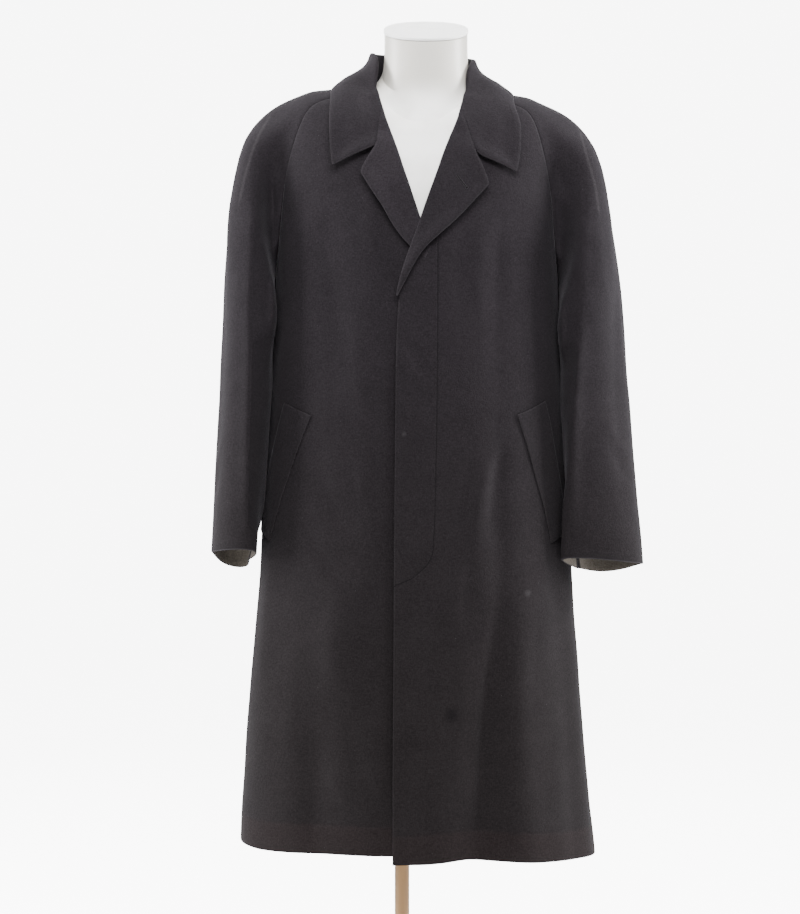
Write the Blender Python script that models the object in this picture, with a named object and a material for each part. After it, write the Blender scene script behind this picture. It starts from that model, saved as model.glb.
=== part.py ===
"""A wool raglan overcoat, fronts lapped and closed, on a limbless torso form with a pole and a round base.

Metres, +Z up. The origin is the middle of the base's underside. The coat's front faces -Y, and the
wearer's left side is +X, where the lapping ("over") front is. The other front is the "under" one.

Every piece of cloth is a wall between two grids of points. The grids come from rings round the coat:
row 0 is the neckline, row 7 the underarm and row 15 the hem. An angle on a ring is counted from the
front towards +X, in degrees, so 90 is the left side, 180 the centre back and -90 the right side.
"""
import math
from collections import namedtuple

import bmesh
import bpy
import numpy as np
from mathutils.bvhtree import BVHTree

# Cloth
WALL = 0.002                  # thickness of the coat's wool
FOLDED_WALL = 0.0022          # thickness of the collar and the lapels
SEAM_GAP = 0.0003             # clearance between two pieces at a seam
NECK_GAP = 0.0006             # clearance at the neckline, whose curve the collar follows in longer steps
UNDERARM_GAP = 0.0006         # clearance where all four seams meet at the underarm
LAP_GAP = 0.0012              # clearance between the over front and what lies under it
SQUARENESS = 2.25             # exponent of the rings: 2 is an ellipse
TILT = 0.028                  # the coat hangs lower to its left, as a slope
COAT_X = 0.0257               # the coat's middle, off the pole, which stands at the origin

# Rings of the coat. front, side and back are heights. right and left are half widths, and chest and
# rear are half depths. over and under are the X of each front's edge. front_seam and back_seam are the
# angles where the raglan sleeve or, from row 7 down, the side seam begins. over_line and under_line
# are the angles of the line that each front's longest fold follows.
Ring = namedtuple("Ring", "front side back right left chest rear over under "
                          "front_seam back_seam over_line under_line")
RINGS = (
    Ring(1.352, 1.4100, 1.430, .0765, .0790, .078, .068, .0580, -.0560, 66, 130, 55.0, -55.0),
    Ring(1.335, 1.4050, 1.418, .1010, .1040, .093, .086, .0510, -.0485, 64, 126, 42.0, -42.0),
    Ring(1.308, 1.3995, 1.398, .1360, .1360, .107, .103, .0361, -.0352, 64, 122, 32.0, -32.0),
    Ring(1.275, 1.3900, 1.368, .1720, .1700, .118, .116, .0236, -.0236, 64, 118, 29.5, -30.0),
    Ring(1.235, 1.3480, 1.325, .2000, .1940, .127, .124, .0088, -.0087, 60, 116, 29.0, -30.0),
    Ring(1.190, 1.2700, 1.262, .2080, .2000, .132, .128, -.0065, .0065, 66, 113, 29.5, -32.0),
    Ring(1.145, 1.1800, 1.178, .2070, .1980, .135, .129, -.0228, .0230, 73, 106, 30.0, -34.0),
    Ring(1.100, 1.1000, 1.100, .2070, .1980, .137, .129, -.0322, .0320, 90, 90, 29.0, -34.0),
    Ring(1.005, 1.0050, 1.005, .2129, .2028, .1393, .1315, -.0340, .0350, 90, 90, 28.5, -32.0),
    Ring(0.910, 0.9100, 0.910, .2185, .2075, .1412, .1344, -.0350, .0350, 90, 90, 28.0, -29.0),
    Ring(0.810, 0.8100, 0.810, .2240, .2120, .1428, .1386, -.0358, .0350, 90, 90, 28.0, -28.0),
    Ring(0.715, 0.7150, 0.715, .2285, .2175, .1456, .1433, -.0366, .0350, 90, 90, 27.5, -28.0),
    Ring(0.620, 0.6200, 0.620, .2356, .2240, .1484, .1480, -.0372, .0350, 90, 90, 26.0, -28.5),
    Ring(0.525, 0.5250, 0.525, .2448, .2310, .1521, .1534, -.0378, .0350, 90, 90, 23.0, -29.0),
    Ring(0.430, 0.4300, 0.430, .2518, .2394, .1560, .1590, -.0384, .0350, 90, 90, 19.5, -30.0),
    Ring(0.3305, 0.3305, 0.3305, .2570, .2500, .1600, .1650, -.0388, .0350, 90, 90, 16.0, -30.0),
)
UNDERARM_ROW = 7
HEM_ROW = 15
YOKE_ROWS = [step / 2 for step in range(2 * UNDERARM_ROW + 1)]
SKIRT_ROWS = [UNDERARM_ROW + 2 / 3 * step for step in range(1, 13)]
PANEL_ROWS = YOKE_ROWS + SKIRT_ROWS

# Height of the hem round each panel: an angle and a height.
Hem = namedtuple("Hem", "angle height")
HEMS = {
    "over": (Hem(-9, .3245), Hem(2, .326), Hem(12, .3315), Hem(36, .3235), Hem(54, .321), Hem(90, .317)),
    "under": (Hem(-90, .338), Hem(-60, .334), Hem(-25, .337), Hem(8, .3365)),
    "back": (Hem(90, .317), Hem(135, .326), Hem(180, .332), Hem(225, .336), Hem(270, .338)),
}
HEM_LEVEL_ROW = 9             # the rows turn level from the hem up to this one

# Folds. Each runs from one angle and height down to another. rise is its height off the cloth, or its
# depth if negative, and width is half its width in degrees. It grows and fades over a share of its run.
Fold = namedtuple("Fold", "top_angle top bottom_angle bottom rise width grow fade")
FOLDS = (
    Fold(31, 1.22, 27, 0.93, -.0030, 7, .3, .3),
    Fold(29, 0.98, 27, 0.64, -.0035, 6, .3, .3),
    Fold(27.5, 0.72, 15.5, 0.30, -.0125, 8, .6, 0),
    Fold(22, 0.90, 17, 0.70, .0040, 6, .4, .5),
    Fold(38, 0.80, 33, 0.30, .0070, 10, .6, 0),
    Fold(3, 0.55, 2, 0.30, .0040, 7, .6, 0),
    Fold(62, 0.95, 60, 0.30, -.0060, 10, .5, 0),
    Fold(-36, 1.16, -28, 0.95, -.0030, 7, .3, .3),
    Fold(-27, 0.72, -24, 0.52, .0050, 9, .4, .4),
    Fold(-34, 0.60, -31, 0.30, -.0065, 10, .5, 0),
    Fold(-68, 0.80, -62, 0.50, .0045, 9, .4, .4),
    Fold(-12, 0.52, -12, 0.30, .0035, 8, .6, 0),
    Fold(128, 0.90, 124, 0.30, -.0090, 10, .6, 0),
    Fold(150, 1.02, 151, 0.30, .0060, 10, .5, 0),
    Fold(174, 0.86, 171, 0.30, -.0085, 9, .6, 0),
    Fold(196, 0.98, 199, 0.30, .0055, 10, .5, 0),
    Fold(219, 0.88, 224, 0.30, -.0095, 10, .6, 0),
    Fold(243, 0.96, 247, 0.30, .0055, 9, .5, 0),
)

# The under front sinks beneath the over front, and further where its own lapel lies between the two.
LAP_START_X = -.065
LAP_END_X = -.042
LAP_TOP = (1.262, 1.222)      # the lap sets in between these heights
LAP_DEPTH = WALL + LAP_GAP
LAPEL_LAYER = (1.075, 1.110)  # the lapel between the fronts ends between these heights
LAPEL_LAYER_DEPTH = .0036

# Front panels: columns from the front edge to the fold line, and on to the seam
INNER_COLUMNS = 6
OUTER_COLUMNS = 9
OUTER_CROWDING = 1.25         # above 1 the outer columns crowd towards the fold line
BACK_COLUMNS = 24
NECK_CUT_COLUMNS = 4          # the neckline runs into the front edge over these columns
NECK_CUT_ROW = .8             # and meets it at this row, where the lapel begins
NECK_CUT_END_ROW = 2
EDGE_SET_BACK = .0037         # the folded edge stands this far proud of the panel's own edge

# Lapels. roll_row is a row of the front's edge, x and z are the lapel's outer edge opposite it, and the
# gaps lie between the lapel and the front, at the roll, midway and at the outer edge.
Lapel = namedtuple("Lapel", "roll_row x z roll_gap middle_gap edge_gap")
LAPELS = {
    "over": (
        Lapel(0.8, .0923, 1.2541, .0030, .0050, .0058),
        Lapel(2.2, .0770, 1.2367, .0030, .0050, .0060),
        Lapel(3.6, .0500, 1.2075, .0028, .0045, .0054),
        Lapel(4.9, .0240, 1.1835, .0026, .0036, .0042),
        Lapel(5.9, .0000, 1.1600, .0022, .0026, .0028),
        Lapel(7.0, -.0235, 1.1160, .0014, .0014, .0014),
    ),
    "under": (
        Lapel(0.8, -.0821, 1.2708, .0030, .0050, .0066),
        Lapel(2.2, -.0670, 1.2455, .0030, .0048, .0066),
        Lapel(3.4, -.0470, 1.2120, .0024, .0032, .0046),
        Lapel(4.3, -.0285, 1.1844, .0015, .0017, .0015),
        Lapel(5.0, -.0110, 1.1660, .0014, .0014, .0014),
        Lapel(5.5, .0060, 1.1530, .0014, .0014, .0014),
    ),
}
NOTCHES = {"over": (.0734, 1.2996), "under": (-.0593, 1.3103)}
LAYER_STEPS = (.15, .30, .45, .63, .81, 1.0)   # from the roll to a lapel's outer edge
NOTCH_STEP = .45                               # the notch is at this step of the top row
NOTCH_REACH_ROW = 3.5                          # the notch's bend fades out by this row
ROLL_STEPS = 4                                 # segments in the half turn at a roll

# Collar. seam is an angle on the neckline. stand is the height from the seam to the middle of the roll,
# and lean is the stand's angle to the coat there. gap is the space in the fold. The fall passes over one
# point of the coat and ends over another, each an angle, a row and a height off the coat.
Station = namedtuple("Station", "seam stand lean gap over_angle over_row over_lift end_angle end_row end_lift")
COLLAR_LEFT = (
    Station(53.1, .0006, 8, .0030, 48, 1.75, .0060, 51.5, 3.00, .0030),
    Station(66, .0080, 32, .0032, 66, 1.35, .0090, 62.0, 2.30, .0013),
    Station(90, .0345, 69, .0034, 92, 1.00, .0135, 90.0, 1.80, .0013),
    Station(135, .0375, 74, .0036, 135, .80, .0150, 135, 1.60, .0013),
)
COLLAR_BACK = Station(180, .0290, 68, .0036, 180, .65, .0165, 180, 1.45, .0013)
COLLAR_RIGHT = (
    Station(-135, .0390, 72, .0036, -135, .80, .0150, -135, 1.60, .0013),
    Station(-90, .0420, 62, .0034, -92, .95, .0150, -90.0, 1.62, .0013),
    Station(-66, .0090, 34, .0032, -66, 1.25, .0100, -60.0, 2.20, .0013),
    Station(-53.1, .0006, 8, .0030, -46, 1.65, .0070, -45.5, 2.90, .0036),
)
LEAST_STAND = .0006           # the stand all but ends at the front edges
COLLAR_TIPS = {"over": (39.0, 4.0, .0058), "under": (-34.4, 3.8, .0100)}   # angle, row and lift
COLLAR_STEPS = (4, 2, 3, 5, 5, 5, 5, 3, 2, 4)  # segments between one station and the next

# Sleeves. Each section goes from the inner seam I over the front F, the outer ridge R and the back B.
# x is counted outwards from the coat's middle. swing turns the section's start from the yoke's own
# direction to straight forward, and crease sharpens the line down the front of the sleeve. corner is the
# length of the handle that fills the section's corner next to the body, as a share of its chord, and
# straight is how flat the face between that corner and the front line is.
Section = namedtuple("Section", "row ix iy iz rx ry rz fx fy fz bx by bz swing crease corner straight",
                     defaults=(0,))
INNER_LEAN = .36              # the lower sleeve leans this much away from the coat, behind its inner seam
UPPER_SECTIONS = (
    Section(4, 0, 0, 0, .212, .004, 1.3715, .198, -.0455, 1.3495, .198, .052, 1.348, 0, 0, .37),
    Section(5, 0, 0, 0, .243, .003, 1.3365, .232, -.063, 1.3025, .232, .066, 1.3, .15, .1, .37),
    Section(6, 0, 0, 0, .2605, 0, 1.29, .232, -.09, 1.215, .235, .085, 1.215, .5, .3, .38),
    Section(7, 0, 0, 0, .273, -.002, 1.215, .232, -.098, 1.15, .238, .09, 1.145, 1, .5, .4),
)
LOWER_SECTIONS = {
    "left": (
        Section(8, .205, .002, 1.045, .2865, -.004, 1.135, .2245, -.098, 1.095, .248, .086, 1.085, 1, .6, .54),
        Section(9, .199, -.046, .975, .293, -.008, 1.05, .2185, -.099, 1.03, .252, .078, 1.005, 1, .6, .37, .7),
        Section(10, .203, -.05, .905, .299, -.014, .96, .213, -.099, .955, .256, .066, .92, 1, .6, .37, .7),
        Section(11, .207, -.05, .845, .3045, -.022, .88, .2085, -.098, .885, .259, .052, .845, 1, .65, .37, .6),
        Section(12, .214, -.04, .785, .3105, -.03, .805, .205, -.096, .815, .262, .036, .775, 1, .7, .37, .3),
        Section(13, .2225, -.024, .728, .3155, -.036, .738, .2034, -.094, .7455, .264, .018, .722, 1, .7, .37),
    ),
    "right": (
        Section(8, .2145, .002, 1.045, .2785, -.004, 1.135, .232, -.1, 1.095, .243, .09, 1.085, 1, .6, .54),
        Section(9, .2098, -.048, .975, .2825, -.008, 1.05, .233, -.104, 1.03, .2475, .084, 1.005, 1, .65, .37, .7),
        Section(10, .2145, -.052, .905, .2865, -.014, .96, .2345, -.107, .955, .252, .074, .92, 1, .7, .37, .8),
        Section(11, .2185, -.052, .845, .2895, -.022, .88, .2365, -.108, .885, .255, .062, .845, 1, .75, .37, .8),
        Section(12, .226, -.042, .785, .2925, -.03, .805, .238, -.108, .815, .259, .05, .775, 1, .8, .37, .6),
        Section(13, .2415, -.026, .728, .2955, -.038, .738, .239, -.108, .7455, .261, .038, .712, 1, .8, .37),
    ),
}
CUFF_ROW = 13
ARC_STEPS = 4                 # segments in each quarter of a sleeve's section
ARC_HANDLE = .37              # length of a quarter's handles, as a share of its chord
SLEEVE_ROWS = YOKE_ROWS + [UNDERARM_ROW + step / 2 for step in range(1, 2 * (CUFF_ROW - UNDERARM_ROW) + 1)]

# Pocket welts: the angle and height of each corner
Welt = namedtuple("Welt", "front_angle front_z back_angle back_z low_front_angle low_front_z low_back_angle low_back_z")
WELTS = {
    "over": Welt(37.4, .938, 55.7, .958, 56.8, .760, 75.0, .775),
    "under": Welt(-41.5, .937, -59.3, .956, -66.0, .7625, -84.0, .777),
}
WELT_COLUMNS = 6
WELT_ROWS = 19
WELT_WALL = .0018
WELT_GAP = .0009

# Torso form: clearance inside the coat at each row of the yoke, front or back and side
Clearance = namedtuple("Clearance", "row middle side")
CLEARANCES = (
    Clearance(0, .004, .0010), Clearance(1, .005, .0005), Clearance(2, .008, .0005), Clearance(3, .010, .0006),
    Clearance(4, .013, .0030), Clearance(5, .018, .0100), Clearance(6, .022, .0180), Clearance(7, .025, .0250),
)
FORM_ROWS = (0, .5, 1, 1.5, 2, 2.5, 3, 3.5, 4, 4.5, 5, 5.5, 6, 7)
FORM_COLUMNS = 32
FORM_X = .0086                # middle of the neck and of the lower torso
NECK_Y = .006
NECK_ROOT = .92               # the neck starts this share of the neckline's width
Level = namedtuple("Level", "front side back half chest rear")
NECK_LEVELS = (
    Level(1.4650, 1.4880, 1.5110, .0600, .058, .058),
    Level(1.4200, 1.4500, 1.4700, .0602, .058, .058),
    Level(1.3880, 1.4250, 1.4400, .0620, .059, .059),
)
TORSO_LEVELS = (
    Level(1.080, 1.080, 1.080, .1650, .1050, .1000),
    Level(0.980, 0.980, 0.980, .1500, .0960, .0980),
    Level(0.900, 0.900, 0.900, .1550, .0980, .1000),
    Level(0.800, 0.800, 0.800, .1720, .1050, .1200),
    Level(0.710, 0.710, 0.710, .1710, .1070, .1210),
    Level(0.675, 0.675, 0.675, .1620, .1000, .1120),
    Level(0.660, 0.660, 0.660, .1500, .0900, .1000),
)
CAP_THICKNESS = .004
CAP_OVERHANG = .0012
TORSO_BOTTOM = .660

# Stand
POLE_RADIUS = .0105
BASE_PROFILE = ((.190, .000), (.190, .006), (.186, .009), (.060, .014), (.026, .018), (.022, .050), (.0108, .052))
BASE_WELL = .012              # the pole stands in the hub, down to this height
SOCKET_PROFILE = ((.034, -.0003), (.034, -.006), (.018, -.010), (.018, -.045), (.0108, -.047))
ROUND_STEPS = 48

Finish = namedtuple("Finish", "colour roughness metallic")
WOOL = Finish((.036, .032, .036), .9, 0)
SHELL = Finish((.78, .77, .74), .45, 0)
CAP = Finish((.80, .80, .79), .35, 0)
WOOD = Finish((.38, .25, .15), .5, 0)
STEEL = Finish((.62, .62, .62), .3, 1)


# Curves and vectors

def spline(values, at):
    """Read evenly spaced numbers or points at fractional rows, along a Catmull-Rom curve."""
    values = np.asarray(values, float)
    ends = [2 * values[:1] - values[1:2], values, 2 * values[-1:] - values[-2:-1]]
    padded = np.concatenate(ends)
    at = np.asarray(at, float)
    index = np.clip(np.floor(at).astype(int), 0, len(values) - 2)
    t = at - index
    t = t.reshape(t.shape + (1,) * (values.ndim - 1))
    a, b, c, d = (padded[index + step] for step in range(4))
    return b + .5 * t * (c - a + t * (2 * a - 5 * b + 4 * c - d + t * (3 * (b - c) + d - a)))


def uneven_spline(knots, values, at):
    """Read values set at uneven knots, along a smooth curve through them."""
    knots = np.asarray(knots, float)
    values = np.asarray(values, float)
    slopes = np.gradient(values, knots, axis=0)
    index = np.clip(np.searchsorted(knots, at) - 1, 0, len(knots) - 2)
    span = knots[index + 1] - knots[index]
    t = (at - knots[index]) / span
    low = values[index] * (2 * t ** 3 - 3 * t ** 2 + 1) + slopes[index] * span * (t ** 3 - 2 * t ** 2 + t)
    return low + values[index + 1] * (3 * t ** 2 - 2 * t ** 3) + slopes[index + 1] * span * (t ** 3 - t ** 2)


def column(rows, name):
    """One named column of a table."""
    return [getattr(row, name) for row in rows]


def unit(vectors):
    """Vectors made one long."""
    vectors = np.asarray(vectors, float)
    return vectors / np.maximum(np.linalg.norm(vectors, axis=-1, keepdims=True), 1e-12)


def square_to(vectors, along):
    """Unit vectors with their part along other unit vectors taken out."""
    return unit(vectors - (vectors * along).sum(-1, keepdims=True) * along)


def ramp(value, start, end):
    """A smooth rise from 0 at start to 1 at end."""
    t = np.clip((value - start) / (end - start), 0, 1)
    return t * t * (3 - 2 * t)


def mix(start, end, share):
    """A value between two others."""
    return start + (end - start) * share


# The coat's surface

def ring(row, name):
    """One size of the coat's rings at a fractional row."""
    return spline(column(RINGS, name), row)


def ring_place(row, angle, panel):
    """Points of the coat's outer surface before its folds."""
    row, angle = np.broadcast_arrays(np.asarray(row, float), np.asarray(angle, float))
    turn = np.radians(angle)
    sine = np.sin(turn)
    cosine = np.cos(turn)
    half = np.where(sine < 0, ring(row, "right"), ring(row, "left"))
    depth = np.where(cosine > 0, ring(row, "chest"), ring(row, "rear"))
    end = np.where(cosine > 0, ring(row, "front"), ring(row, "back"))
    side = ring(row, "side")
    power = 2 / SQUARENESS
    x = half * np.sign(sine) * np.abs(sine) ** power
    y = -depth * np.sign(cosine) * np.abs(cosine) ** power
    z = side + (end - side) * cosine ** 2
    if panel in HEMS:
        hem = np.interp(angle, column(HEMS[panel], "angle"), column(HEMS[panel], "height"))
        z = z + (hem + TILT * x - RINGS[-1].side) * ramp(row, HEM_LEVEL_ROW, HEM_ROW)
    return np.stack([x, y, z - TILT * x], -1)


def normals_of(place, row, angle, panel):
    """Outward unit normals of a surface given by a function of row and angle."""
    down = place(row + .02, angle, panel) - place(row - .02, angle, panel)
    round_ = place(row, angle + .4, panel) - place(row, angle - .4, panel)
    return unit(np.cross(down, round_))


def fold_height(angle, z):
    """How far the folds stand off the plain surface."""
    height = np.zeros(np.shape(z))
    for fold in FOLDS:
        share = (fold.top - z) / (fold.top - fold.bottom)
        middle = mix(fold.top_angle, fold.bottom_angle, np.clip(share, 0, 1))
        off = (angle - middle + 180) % 360 - 180
        run = ramp(share, 0, fold.grow)
        if fold.fade:
            run = run * ramp(1 - share, 0, fold.fade)
        height = height + fold.rise * run * np.exp(-(off / fold.width) ** 2 * 2)
    return height


def lap_depth(x, z):
    """How far the under front lies inside the plain surface."""
    across = ramp(x, LAP_START_X, LAP_END_X)
    lap = LAP_DEPTH * ramp(z, *LAP_TOP)
    layer = LAPEL_LAYER_DEPTH * ramp(z, *LAP_TOP) * ramp(z, *LAPEL_LAYER)
    return across * (lap + layer)


def cloth_place(row, angle, panel):
    """Points of the coat's outer surface with its folds."""
    row, angle = np.broadcast_arrays(np.asarray(row, float), np.asarray(angle, float))
    points = ring_place(row, angle, panel)
    normals = normals_of(ring_place, row, angle, panel)
    height = fold_height(angle, points[..., 2])
    if panel == "under":
        height = height - lap_depth(points[..., 0], points[..., 2])
    return points + height[..., None] * normals


def surface(row, angle, panel):
    """Points of a panel's outer surface and its outward normals."""
    row, angle = np.broadcast_arrays(np.asarray(row, float), np.asarray(angle, float))
    return cloth_place(row, angle, panel), normals_of(cloth_place, row, angle, panel)


def angle_at(row, x):
    """The angle on a ring's front half where X has a given value."""
    half = np.where(x < 0, ring(row, "right"), ring(row, "left"))
    sine = np.clip(np.abs(x) / half, 0, 1) ** (SQUARENESS / 2)
    return np.degrees(np.arcsin(sine)) * np.sign(x)


def front_at(x, z):
    """The angle and row of the point of the front with a given X and height."""
    low, high = 0.0, 9.0
    for _ in range(30):
        row = (low + high) / 2
        if ring_place(row, angle_at(row, x), "plain")[2] > z:
            low = row
        else:
            high = row
    return float(angle_at(row, x)), row


def side_of(panel):
    """+1 for the over front, on the wearer's left, and -1 for the under front."""
    return 1 if panel == "over" else -1


def edge_angle(row, panel):
    """The angle of a front panel's own edge, set back where the lapel rolls over it."""
    last_row = LAPELS[panel][-1].roll_row
    set_back = EDGE_SET_BACK * (1 - ramp(row, last_row - .8, last_row + .6))
    return angle_at(row, ring(row, panel) + side_of(panel) * set_back)


# Meshes

def finish_material(name, finish):
    """A plain material for one piece."""
    material = bpy.data.materials.new(name)
    material.use_nodes = True
    shader = material.node_tree.nodes["Principled BSDF"]
    shader.inputs["Base Color"].default_value = (*finish.colour, 1)
    shader.inputs["Roughness"].default_value = finish.roughness
    shader.inputs["Metallic"].default_value = finish.metallic
    return material


def add_piece(name, mesh, finish, parent=None):
    """Put a mesh into the coat's collection as one named piece."""
    piece = bpy.data.objects.new(name, mesh)
    bpy.data.collections["wool_overcoat"].objects.link(piece)
    mesh.materials.append(finish_material(name, finish))
    piece.parent = parent
    return piece


def mesh_from(bm, name):
    """Close a bmesh into a mesh with all its faces pointing out."""
    bmesh.ops.recalc_face_normals(bm, faces=bm.faces)
    bmesh.ops.triangulate(bm, faces=bm.faces, quad_method="SHORT_EDGE")
    mesh = bpy.data.meshes.new(name)
    bm.to_mesh(mesh)
    bm.free()
    mesh.shade_smooth()
    mesh.set_sharp_from_angle(angle=math.radians(50))
    return mesh


def add_wall(name, outer, inner, finish, parent):
    """A closed wall of cloth between two grids of points."""
    rows, columns = outer.shape[:2]
    bm = bmesh.new()
    faces = [[[bm.verts.new(point) for point in line] for line in grid] for grid in (outer, inner)]
    for grid in faces:
        for row in range(rows - 1):
            for col in range(columns - 1):
                bm.faces.new((grid[row][col], grid[row][col + 1], grid[row + 1][col + 1], grid[row + 1][col]))
    loops = []
    for grid in faces:
        last = [line[-1] for line in grid]
        first = [line[0] for line in grid]
        loops.append(grid[0] + last[1:] + grid[-1][-2::-1] + first[-2:0:-1])
    for step in range(len(loops[0])):
        bm.faces.new((loops[0][step], loops[0][step - 1], loops[1][step - 1], loops[1][step]))
    return add_piece(name, mesh_from(bm, name), finish, parent)


def add_loft(name, rings, finish, parent):
    """A closed solid through rings of points, with a flat face at each end."""
    bm = bmesh.new()
    loops = [[bm.verts.new(point) for point in line] for line in rings]
    for upper, lower in zip(loops, loops[1:]):
        for step in range(len(upper)):
            bm.faces.new((upper[step - 1], upper[step], lower[step], lower[step - 1]))
    bm.faces.new(loops[0])
    bm.faces.new(loops[-1])
    return add_piece(name, mesh_from(bm, name), finish, parent)


def add_turned(name, profile, finish, height=0.0):
    """A solid of revolution about +Z from a closed outline of radius and height pairs."""
    bm = bmesh.new()
    points = [bm.verts.new((radius, 0, z + height)) for radius, z in profile]
    edges = [bm.edges.new((points[step - 1], points[step])) for step in range(1, len(points))]
    if profile[0][0] > 0 or profile[-1][0] > 0:
        edges.append(bm.edges.new((points[-1], points[0])))
    bmesh.ops.spin(bm, geom=points + edges, axis=(0, 0, 1), cent=(0, 0, 0), angle=2 * math.pi,
                   steps=ROUND_STEPS, use_merge=True, use_duplicate=False)
    bmesh.ops.remove_doubles(bm, verts=bm.verts, dist=1e-6)
    return add_piece(name, mesh_from(bm, name), finish)


# Coat panels

def front_grid(panel):
    """Rows and angles of a front panel's points."""
    columns = INNER_COLUMNS + OUTER_COLUMNS + 1
    rows = np.zeros((len(PANEL_ROWS), columns))
    angles = np.zeros_like(rows)
    for col in range(columns):
        cut = neck_cut(min(col, NECK_CUT_COLUMNS))
        for index, row in enumerate(PANEL_ROWS):
            rows[index, col] = row + cut * max(0, 1 - row / NECK_CUT_END_ROW)
            angles[index, col] = column_angle(rows[index, col], col, panel)
    return rows, angles


def neck_cut(col):
    """The row where the neckline passes a column, as it runs down into the front edge."""
    return NECK_CUT_ROW * (1 - col / NECK_CUT_COLUMNS) ** 2


def column_angle(row, col, panel):
    """The angle of a column of a front panel at a row."""
    line = ring(row, panel + "_line")
    if col <= INNER_COLUMNS:
        return mix(edge_angle(row, panel), line, col / INNER_COLUMNS)
    share = ((col - INNER_COLUMNS) / OUTER_COLUMNS) ** OUTER_CROWDING
    return mix(line, seam_angle(row, "front") * side_of(panel), share)


def seam_angle(row, which):
    """The angle of the raglan seam, or of the side seam below the underarm."""
    if row >= UNDERARM_ROW:
        return 90.0
    return float(ring(row, which + "_seam"))


def panel_grids():
    """Outer points and normals of the two fronts and the back."""
    grids = {}
    for panel in ("over", "under"):
        rows, angles = front_grid(panel)
        grids[panel] = list(surface(rows, angles, panel))
    rows = np.repeat(np.array(PANEL_ROWS)[:, None], BACK_COLUMNS + 1, 1)
    starts = np.array([seam_angle(row, "back") for row in PANEL_ROWS])[:, None]
    angles = mix(starts, 360 - starts, np.arange(BACK_COLUMNS + 1) / BACK_COLUMNS)
    grids["back"] = list(surface(rows, angles, "back"))
    return grids


# Sleeves

def arc(start, end, leave, arrive, corner=ARC_HANDLE):
    """Points along a smooth quarter of a sleeve's section, without its last point."""
    chord = np.linalg.norm(end - start)
    first = start + ARC_HANDLE * chord * leave
    second = end - corner * chord * arrive
    points = []
    for step in range(ARC_STEPS):
        t = step / ARC_STEPS
        points.append((1 - t) ** 3 * start + 3 * (1 - t) ** 2 * t * first
                      + 3 * (1 - t) * t ** 2 * second + t ** 3 * end)
    return points


def sleeve_section(section, side):
    """One section of a sleeve, from the inner seam over the front, ridge and back to the inner seam."""
    def at(x, y, z):
        return np.array([x * side, y, z - TILT * x * side])
    front = at(section.fx, section.fy, section.fz)
    ridge = at(section.rx, section.ry, section.rz)
    back = at(section.bx, section.by, section.bz)
    start = end = at(section.ix, section.iy, section.iz)
    forward = np.array([0, -1.0, 0])
    leave = forward
    arrive = unit(np.array([-INNER_LEAN * side, -1.0, 0]))
    if section.row <= UNDERARM_ROW:
        directions = []
        seams = []
        for which in ("front", "back"):
            angle = seam_angle(section.row, which) * side
            seams.append(cloth_place(section.row, angle, "plain"))
            along = cloth_place(section.row, angle + side, "plain") - seams[-1]
            directions.append(unit(mix(unit(along), forward, section.swing)))
        start, end = seams
        leave, arrive = directions
    outward = np.array([side, 0, 0])
    over_front = unit(mix(unit(ridge - start), outward, section.crease))
    backward = np.array([0, 1.0, 0])
    onto_front = unit(mix(over_front, unit(front - start), section.straight))
    points = arc(start, front, leave, onto_front, section.corner)
    points += arc(front, ridge, over_front, backward)
    points += arc(ridge, back, backward, -outward)
    points += arc(back, end, -outward, arrive)
    return points + [end]


def yoke_section(row, side):
    """One section of a sleeve where it is still part of the yoke."""
    share = np.arange(2 * ARC_STEPS + 1) / (2 * ARC_STEPS)
    front = mix(seam_angle(row, "front"), 90, share)
    back = mix(90, seam_angle(row, "back"), share[1:])
    return cloth_place(row, np.concatenate([front, back]) * side, "plain")


def sleeve_grid(side):
    """Outer points and normals of a whole sleeve: column 0 and the last are its inner seams."""
    name = "left" if side > 0 else "right"
    last_yoke_row = UPPER_SECTIONS[0].row - 1
    keys = [yoke_section(row, side) for row in range(last_yoke_row + 1)]
    keys += [np.array(sleeve_section(section, side)) for section in UPPER_SECTIONS + LOWER_SECTIONS[name]]
    points = spline(keys, SLEEVE_ROWS)
    for index, row in enumerate(SLEEVE_ROWS):
        if row <= last_yoke_row:
            points[index] = yoke_section(row, side)
        elif row < UNDERARM_ROW:
            for col, which in ((0, "front"), (-1, "back")):
                points[index, col] = cloth_place(row, seam_angle(row, which) * side, "plain")
        else:
            points[index, 0] = points[index, -1] = (points[index, 0] + points[index, -1]) / 2
    down = np.gradient(points, axis=0)
    round_ = np.gradient(points, axis=1)
    closed = len(YOKE_ROWS) - 1
    round_[closed:, 0] = round_[closed:, -1] = points[closed:, 1] - points[closed:, -2]
    return [points, side * unit(np.cross(down, round_))]


# Seams

def part_seam(first, second, rows):
    """Move two grids apart along a seam that they share, and match their normals where they are level.

    first and second are pairs of a grid and the column of the seam in it. The column next to it is the
    one towards the middle of that grid.
    """
    edges = []
    for grid, col in (first, second):
        near = 1 if col == 0 else col - 1
        edge = grid[0][rows, col]
        along = unit(np.gradient(edge, axis=0))
        edges.append((edge.copy(), square_to(grid[0][rows, near] - edge, along)))
    apart = unit(edges[0][1] - edges[1][1]) * SEAM_GAP / 2
    level = ramp(-(edges[0][1] * edges[1][1]).sum(-1, keepdims=True), .2, .7)
    normals = [grid[1][rows, col].copy() for grid, col in (first, second)]
    for (grid, col), sign, own, other in ((first, 1, *normals), (second, -1, *normals[::-1])):
        grid[0][rows, col] += sign * apart
        grid[1][rows, col] = unit(own + level * other)


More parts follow.
